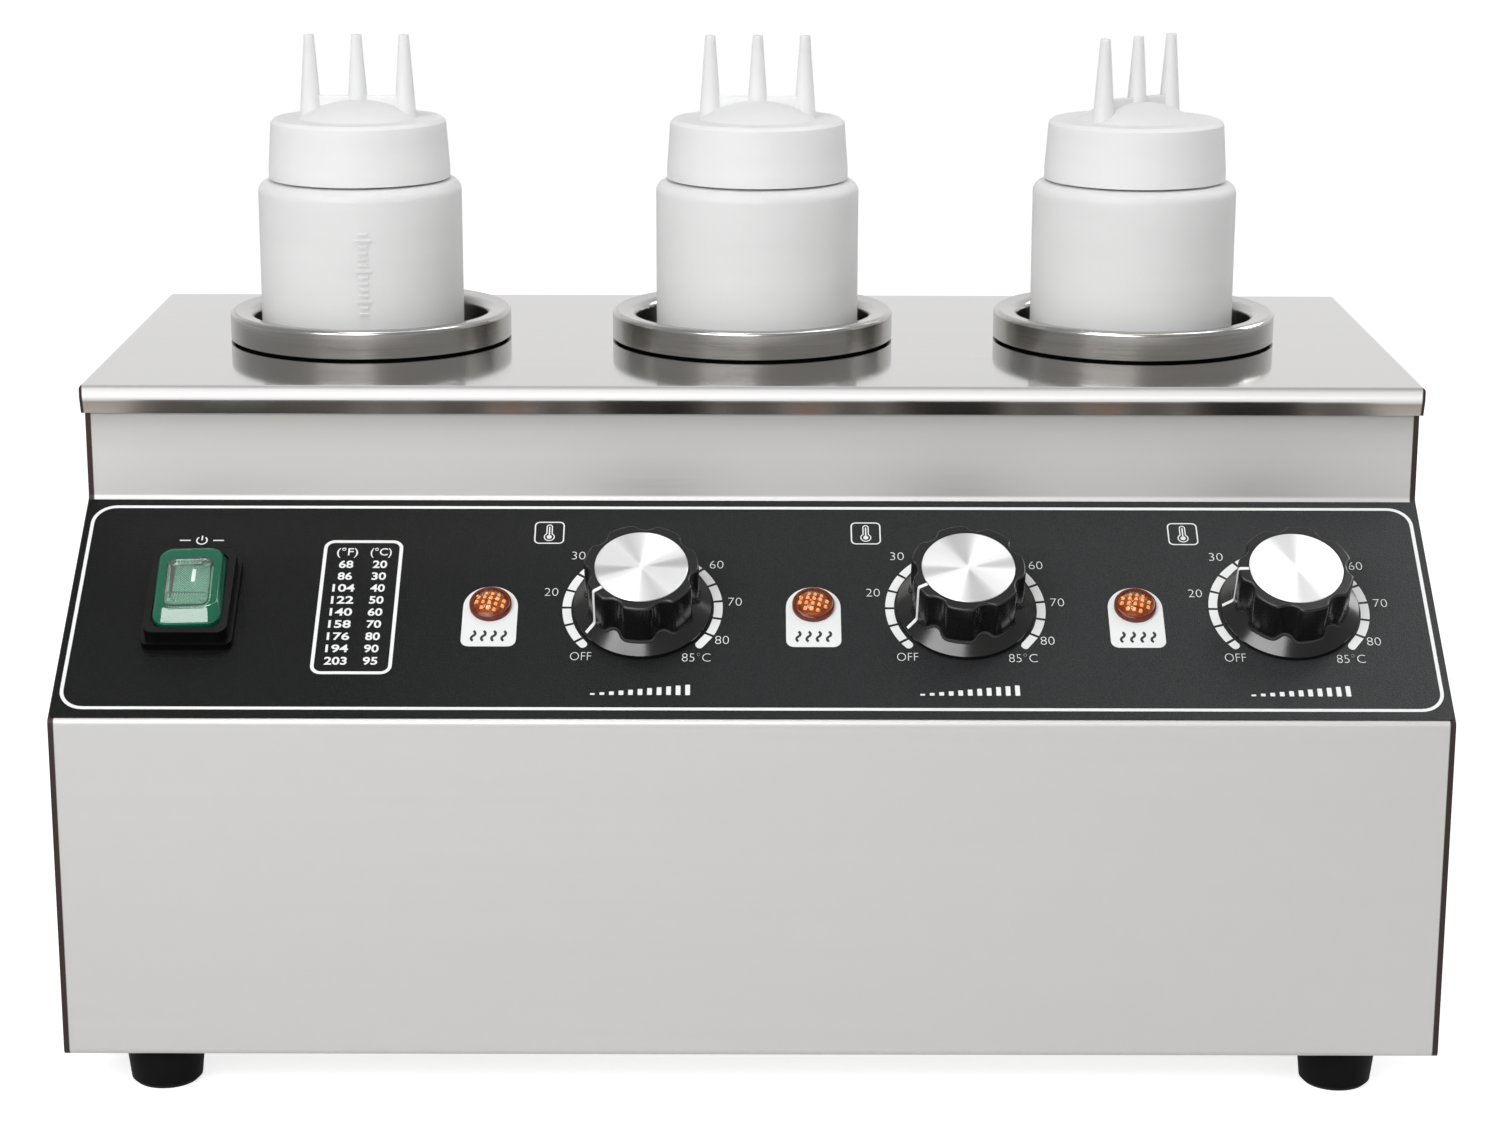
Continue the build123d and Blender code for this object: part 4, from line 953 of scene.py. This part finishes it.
class WARMER_OT_lamps(bpy.types.Operator):
    """Makes the amber lenses, their studded insides and the pale tags below them"""
    bl_idname = "warmer.lamps"
    bl_label = "Pilot lamps"

    REACH, FLOOR, CROWN = 0.0059, 0.0019, 0.0036  # the reflector's radius, edge and middle

    def execute(self, context):
        sizes = context.scene.warmer_print
        ink = sizes.ink_height
        lamps_x = [middle_of(f"pilot_lens_{number}").x for number in (1, 2, 3)]
        lens, film = ("lens_amber", LAMP_S, 0), ("panel_film", sizes.tag_s, FILM)
        waves = ("panel_film", sizes.waves_s, FILM + ink)
        for model, use, (slot, s, h) in (
                (self.dome(), "amber", lens), (self.ring(), "lens_ring", lens),
                (self.reflector(), "reflector", lens), (self.studs(sizes), "studs", lens),
                (self.tag(sizes), "tag", film), (self.waves(ink), "black_ink", waves)):
            set_out(model, [panel_matrix(x, s, h) for x in lamps_x], use,
                    stands_for=["pilot_lens_#"] if use == "amber" else ())
        return {"FINISHED"}

    def ring(self):
        """Moulded edge of the lens, standing on the panel."""
        return turned("lens_ring", [(0.00775, FILM), (0.00775, 0.0020), (0.0075, 0.0025),
                                    (0.0070, 0.0028), (0.0065, 0.0028), (0.0062, 0.0024),
                                    (0.0062, FILM)], 64, closed=True)

    def dome(self):
        """Thin clear dome inside the ring."""
        reach, rim, crown, wall = 0.0064, 0.0025, 0.0059, 0.0006
        steps = [step / 10 for step in range(10, -1, -1)]
        outside = [(reach * at, dome_height(crown, rim, reach, reach * at)) for at in steps]
        inner = reach - wall
        inside = [(inner * at, dome_height(crown - wall, rim - wall, inner, inner * at))
                  for at in reversed(steps)]
        return turned("lens_dome", outside + inside, 64, closed=True)

    def bed(self, at):
        """Height of the reflector at a distance from its middle."""
        return dome_height(self.CROWN, self.FLOOR, self.REACH, at)

    def reflector(self):
        """Low dome that carries the studs."""
        underside, steps = 0.0009, 6
        rise = [(self.REACH * step / steps, self.bed(self.REACH * step / steps))
                for step in range(steps - 1, -1, -1)]
        return turned("lens_reflector",
                      [(self.REACH, underside), (self.REACH, self.FLOOR)] + rise, 48)

    def studs(self, sizes):
        """Grid of small blunt pyramids, as moulded inside such a lens."""
        pitch, tall, taper, edge, sunk = sizes.facet_pitch, 0.0011, 0.45, 0.00016, 0.0003
        foot, inside = 0.64 * pitch, self.REACH - 0.45 * pitch
        stud = begin("plane", "stud", size=foot)
        pull(0, 0, tall)
        scaled(taper, taper, center_override=(0, 0, tall))
        select_mesh()
        bpy.ops.mesh.bevel(offset=edge, segments=2, affect="EDGES")
        close_edit()
        grid = [(column * pitch, (row + 0.5) * pitch)
                for column in range(-4, 5) for row in range(-4, 5)]
        turn = Matrix.Rotation(radians(-12), 4, "Z")
        places = [turn @ Matrix.Translation((x, y, self.bed(hypot(x, y)) - sunk))
                  for x, y in grid if hypot(x, y) < inside]
        return joined("lens_studs", repeated(stud, places))

    def tag(self, sizes):
        """Pale tag with a round top."""
        wide, high, foot_corner = sizes.tag_width, sizes.tag_height, 0.003
        tag = begin("plane", "lamp_tag", size=1.0)
        scaled(wide, high)
        pick(tag, "VERT", lambda v: v.co.y > 0)
        round_corners(0.499 * wide, 20)
        pick(tag, "VERT", lambda v: v.co.y < -0.49 * high)
        round_corners(foot_corner, 6)
        return thickened(tag, sizes.ink_height)

    def waves(self, ink):
        """Four upright heat waves, each of two opposed arcs."""
        line, radius, bend, pitch = 0.0010, 0.00136, radians(60), 0.0037
        pieces = []
        for place in (-1.5, -0.5, 0.5, 1.5):
            for side in (1, -1):
                start = -bend if side > 0 else pi - bend
                arc = arc_plate("heat_wave", radius - line / 2, radius + line / 2, start,
                                2 * bend, ink, steps=10)
                pieces.append(shifted(arc, place * pitch - side * radius * cos(bend),
                                      side * radius * sin(bend)))
        return joined("heat_waves", pieces)


class WARMER_OT_switch(bpy.types.Operator):
    """Makes the rocker's dotted face, its mark and the clear green boot over it"""
    bl_idname = "warmer.switch"
    bl_label = "Power switch"

    def execute(self, context):
        tilt, ridge, drop = radians(9.0), 0.0042, 0.0022
        wide, reach, depth, corner, outward = 0.0138, 0.0134, 0.00025, 0.0006, 0.0001
        slope = atan2(drop, reach)
        top = (panel_matrix(SWITCH_AT.x, SWITCH_S, PIVOT_H) @ Matrix.Rotation(-tilt, 4, "X")
               @ Matrix.Translation((0, 0, ridge)))
        for name, side in (("rocker_face_on", 1), ("rocker_face_off", -1)):
            face = rounded_plate(name, wide, reach - corner, corner, depth, segments=3)
            middle = side * (reach / 2 + outward) / cos(slope)
            placed(face, top @ Matrix.Rotation(side * slope, 4, "X")
                   @ Matrix.Translation((0, middle, 0)))
            handed_over(face, "rocker", body="rocker")
        mark_wide, mark_long, mark_corner, mark_depth, mark_up = (0.0013, 0.0060, 0.0004, 0.0001,
                                                                  0.0084)
        mark = rounded_plate("on_mark", mark_wide, mark_long, mark_corner, mark_depth,
                             segments=3)
        placed(mark, top @ Matrix.Rotation(slope, 4, "X")
               @ Matrix.Translation((0, mark_up, depth)))
        handed_over(mark, "mark", body="rocker")
        self.boot()
        return {"FINISHED"}

    def boot(self):
        """Soft moulded cover: green walls and a broad green rim round a clear window."""
        base, wide, tall, corner = 0.0080, 0.0248, 0.0359, 0.0055
        wall_thickness, turn = 0.0007, radians(2.0)
        # height, width, length and shift up the panel of each step of the mould
        levels = [(0.0100, wide, tall, 0), (0.0104, 0.0247, 0.0357, 0),
                  (0.0107, 0.0244, 0.0353, 0.0001), (0.0131, 0.0227, 0.0300, 0.0016),
                  (0.0134, 0.0216, 0.0289, 0.0014), (0.01355, 0.0204, 0.0278, 0.0010),
                  (0.0136, 0.0172, 0.0243, -0.0006)]
        wall = begin("plane", "boot_wall", size=1.0)
        scaled(wide, tall)
        round_corners(corner, 10)
        now = (base, wide, tall, 0)
        for level in levels:
            pull(0, level[3] - now[3], level[0] - now[0])
            scaled(level[1] / now[1], level[2] / now[2], center_override=(0, level[3], 0))
            now = level
        pick(wall, "FACE", self.end_face)
        bpy.ops.mesh.duplicate()
        bpy.ops.mesh.separate(type="SELECTED")
        window = [item for item in bpy.context.selected_objects if item != wall][0]
        pick(wall, "FACE", self.end_face)
        bpy.ops.mesh.delete(type="FACE")
        close_edit()
        shaped(wall, "SOLIDIFY", thickness=wall_thickness, offset=-1.0)
        place = panel_matrix(SWITCH_AT.x, SWITCH_S, base, turn)
        placed(wall, place)
        handed_over(wall, "boot_green", stands_for=["switch_boot"])
        self.window(window, now[0] - base, now[3])
        placed(window, place)
        handed_over(window, "boot_clear")

    def end_face(self, face):
        """True for the flat many-sided faces at the boot's foot and top."""
        return abs(face.normal.z) > 0.99 and len(face.verts) > 4

    def window(self, window, rim, up):
        """Turns the separated top face into a thin, slightly crowned clear sheet."""
        only(window)
        window.name = "boot_window"
        bpy.ops.object.mode_set(mode="EDIT")
        pick(window, "FACE", lambda f: f.calc_center_median().z < rim / 2)
        bpy.ops.mesh.delete(type="FACE")
        bpy.ops.mesh.select_mode(type="FACE")
        select_mesh()
        shrink = 1.0
        for size, lift in ((0.86, 0.00016), (0.70, 0.00028), (0.50, 0.00038), (0.28, 0.00045),
                           (0.08, 0.00048)):
            pull(0, 0, 0)
            scaled(size / shrink, size / shrink, center_override=(0, up, 0))
            top = max(v.co.z for v in bmesh.from_edit_mesh(window.data).verts)
            bpy.ops.transform.translate(value=(0, 0, rim + lift - top))
            shrink = size
        close_edit()
        shaped(window, "SOLIDIFY", thickness=0.0006, offset=-1.0)


class WARMER_OT_bottles(bpy.types.Operator):
    """Adds the moulded filling marks to each bottle"""
    bl_idname = "warmer.bottles"
    bl_label = "Filling marks"

    def execute(self, context):
        sizes = context.scene.warmer_print
        sunk, proud, long, short, line = 0.0006, 0.0008, 0.0062, 0.0034, 0.0009
        inner, outer = sizes.bottle_radius - sunk, sizes.bottle_radius + proud
        pieces = []
        for step in range(-7, 7):
            sweep = (long if step % 5 == 0 else short) / sizes.bottle_radius
            mark = arc_plate("filling_mark", inner, outer, -sweep / 2, sweep, line, steps=6)
            pieces.append(placed(mark, Matrix.Translation((0, 0, step * sizes.mark_pitch))))
        places = [Matrix.Translation((place.x, place.y, sizes.mark_height))
                  @ Matrix.Rotation(radians(turn), 4, "Z")
                  for place, turn in zip(BOTTLE_AT, MARKS_FACE)]
        set_out(joined("filling_marks", pieces), places, "plastic",
                body="bottle_#")
        return {"FINISHED"}


class WARMER_OT_stage(bpy.types.Operator):
    """Sets the floor, the light and the camera"""
    bl_idname = "warmer.stage"
    bl_label = "Stage"

    FLOOR_SEEN, FLOOR_MIRRORED, WORLD_LIGHT = 0.75, 0.42, 0.45

    def execute(self, context):
        self.floor()
        self.world(context.scene)
        self.lamp("front_softbox", (-0.6, -1.6, 1.15), (1.5, 0.6), 27.0)
        self.lamp("side_softbox", (1.2, 0.65, 0.9), (0.5, 0.5), 5.0)
        self.lamp("overhead_strip", (0.1, -0.33, 1.4), (1.1, 0.12), 2.0)
        self.lamp("overhead_spot", (-0.24, -0.33, 1.39), (0.35, 0.25), 2.8, gloss_only=True)
        self.lamp("overhead_softbox", (0.80, 0.12, 1.5), (0.5, 0.5), 4.5, gloss_only=True)
        self.camera(context.scene, context.scene.warmer_stage)
        context.scene.view_settings.view_transform = "Standard"
        return {"FINISHED"}

    def camera(self, scene, stage):
        """The photo's camera."""
        camera = bpy.data.objects.new("camera", bpy.data.cameras.new("camera"))
        scene.collection.objects.link(camera)
        camera.data.lens = stage.focal
        camera.data.sensor_width = 36.0
        camera.data.clip_start = 0.05
        camera.location = (stage.sideways, -stage.distance, stage.height)
        look = (Matrix.Rotation(-stage.yaw, 4, "Z")
                @ Matrix.Rotation(pi / 2 - stage.pitch, 4, "X")
                @ Matrix.Rotation(stage.roll, 4, "Z"))
        camera.rotation_euler = look.to_euler()
        scene.camera = camera

    def floor(self):
        """A wide white floor: what the camera sees is lifted to white, shadows stay."""
        floor = begin("plane", "floor", size=12.0)
        bpy.ops.object.mode_set(mode="OBJECT")
        finish = new_finish("floor_white")
        grain = finish.noise(finish.stretched((3, 3, 3)))
        finish.wear({
            "Base Color": finish.tinted(grain, ((0.55, 0.55, 0.55), (0.57, 0.57, 0.57))),
            "Roughness": 0.9,
            "Specular IOR Level": 0.0})
        lift = finish.math("MULTIPLY_ADD", finish.ray("Camera"),
                           self.FLOOR_SEEN - self.FLOOR_MIRRORED, self.FLOOR_MIRRORED)
        plain = finish.nodes["Principled BSDF"].outputs["BSDF"]
        lifted = finish.add("AddShader", {0: plain,
                                          1: finish.add("Emission", {"Strength": lift})})
        seen = finish.add("MixShader", {"Fac": self.seen_ray(finish), 1: plain, 2: lifted})
        finish.feed(finish.nodes["Material Output"].inputs["Surface"], seen)
        floor.data.materials.append(finish.owner)

    def seen_ray(self, graph):
        """One for camera, mirror and see-through rays, nought for the rest."""
        mirror = graph.math("MAXIMUM", graph.ray("Glossy"), graph.ray("Transmission"))
        return graph.math("MAXIMUM", graph.ray("Camera"), mirror)

    def world(self, scene):
        """White surroundings behind, a grey room in front, a white backdrop, an even light."""
        scene.world = scene.world or bpy.data.worlds.new("studio")
        world = Graph(scene.world)
        world.nodes.clear()
        behind = world.axis("Y", world.add("TexCoord", {}, "Generated"))
        room = world.tinted(world.spread(behind, 0, 1, -1, 1),
                            ((0.42, 0.41, 0.40), (0.45, 0.45, 0.45), (0.55, 0.55, 0.55),
                             (1, 1, 1)), (0.0, 0.5, 0.72, 0.93))
        lit = world.add("Background", {"Color": WHITE, "Strength": self.WORLD_LIGHT})
        seen = world.add("Background", {"Color": world.mixed(world.ray("Camera"), room, WHITE)})
        both = world.add("MixShader", {"Fac": self.seen_ray(world), 1: lit, 2: seen})
        output = world.nodes.new("ShaderNodeOutputWorld")
        world.feed(output.inputs["Surface"], both)

    def lamp(self, name, place, size, power, gloss_only=False):
        """A soft rectangular lamp, aimed at the middle of the control panel."""
        data = bpy.data.lights.new(name, "AREA")
        data.shape = "RECTANGLE"
        data.size, data.size_y = size
        data.energy = power
        lamp = bpy.data.objects.new(name, data)
        lamp.location = place
        aim = PANEL_FOOT + PANEL_UP * DIAL_S - Vector(place)
        lamp.rotation_euler = aim.to_track_quat("-Z", "Y").to_euler()
        lamp.visible_diffuse = not gloss_only
        bpy.context.scene.collection.objects.link(lamp)


class WARMER_PT_sidebar(bpy.types.Panel):
    """Lists the warmer's settings and building steps"""
    bl_idname = "WARMER_PT_sidebar"
    bl_label = "Topping Warmer"
    bl_space_type = "VIEW_3D"
    bl_region_type = "UI"
    bl_category = "Warmer"

    def draw(self, context):
        for group in ("warmer_finishes", "warmer_print", "warmer_stage"):
            settings = getattr(context.scene, group)
            box = self.layout.box()
            for setting in settings.__annotations__:
                box.prop(settings, setting)
        for step in STEPS:
            self.layout.operator(step.bl_idname)


GROUPS = {"warmer_finishes": WarmerFinishes, "warmer_print": WarmerPrint,
          "warmer_stage": WarmerStage}
STEPS = (WARMER_OT_housing, WARMER_OT_panel_print, WARMER_OT_dials, WARMER_OT_knobs,
         WARMER_OT_lamps, WARMER_OT_switch, WARMER_OT_bottles, WARMER_OT_stage)


def register():
    """Registers the settings, the operators and the sidebar."""
    for name, group in GROUPS.items():
        bpy.utils.register_class(group)
        setattr(bpy.types.Scene, name, bpy.props.PointerProperty(type=group))
    for item in (*STEPS, WARMER_PT_sidebar):
        bpy.utils.register_class(item)


def unregister():
    """Takes them away again."""
    for item in (WARMER_PT_sidebar, *reversed(STEPS)):
        bpy.utils.unregister_class(item)
    for name, group in GROUPS.items():
        delattr(bpy.types.Scene, name)
        bpy.utils.unregister_class(group)


def main():
    """Builds the warmer's looks step by step."""
    register()
    for step in STEPS:
        getattr(bpy.ops.warmer, step.bl_idname.split(".")[1])()


if __name__ == "__main__":
    main()
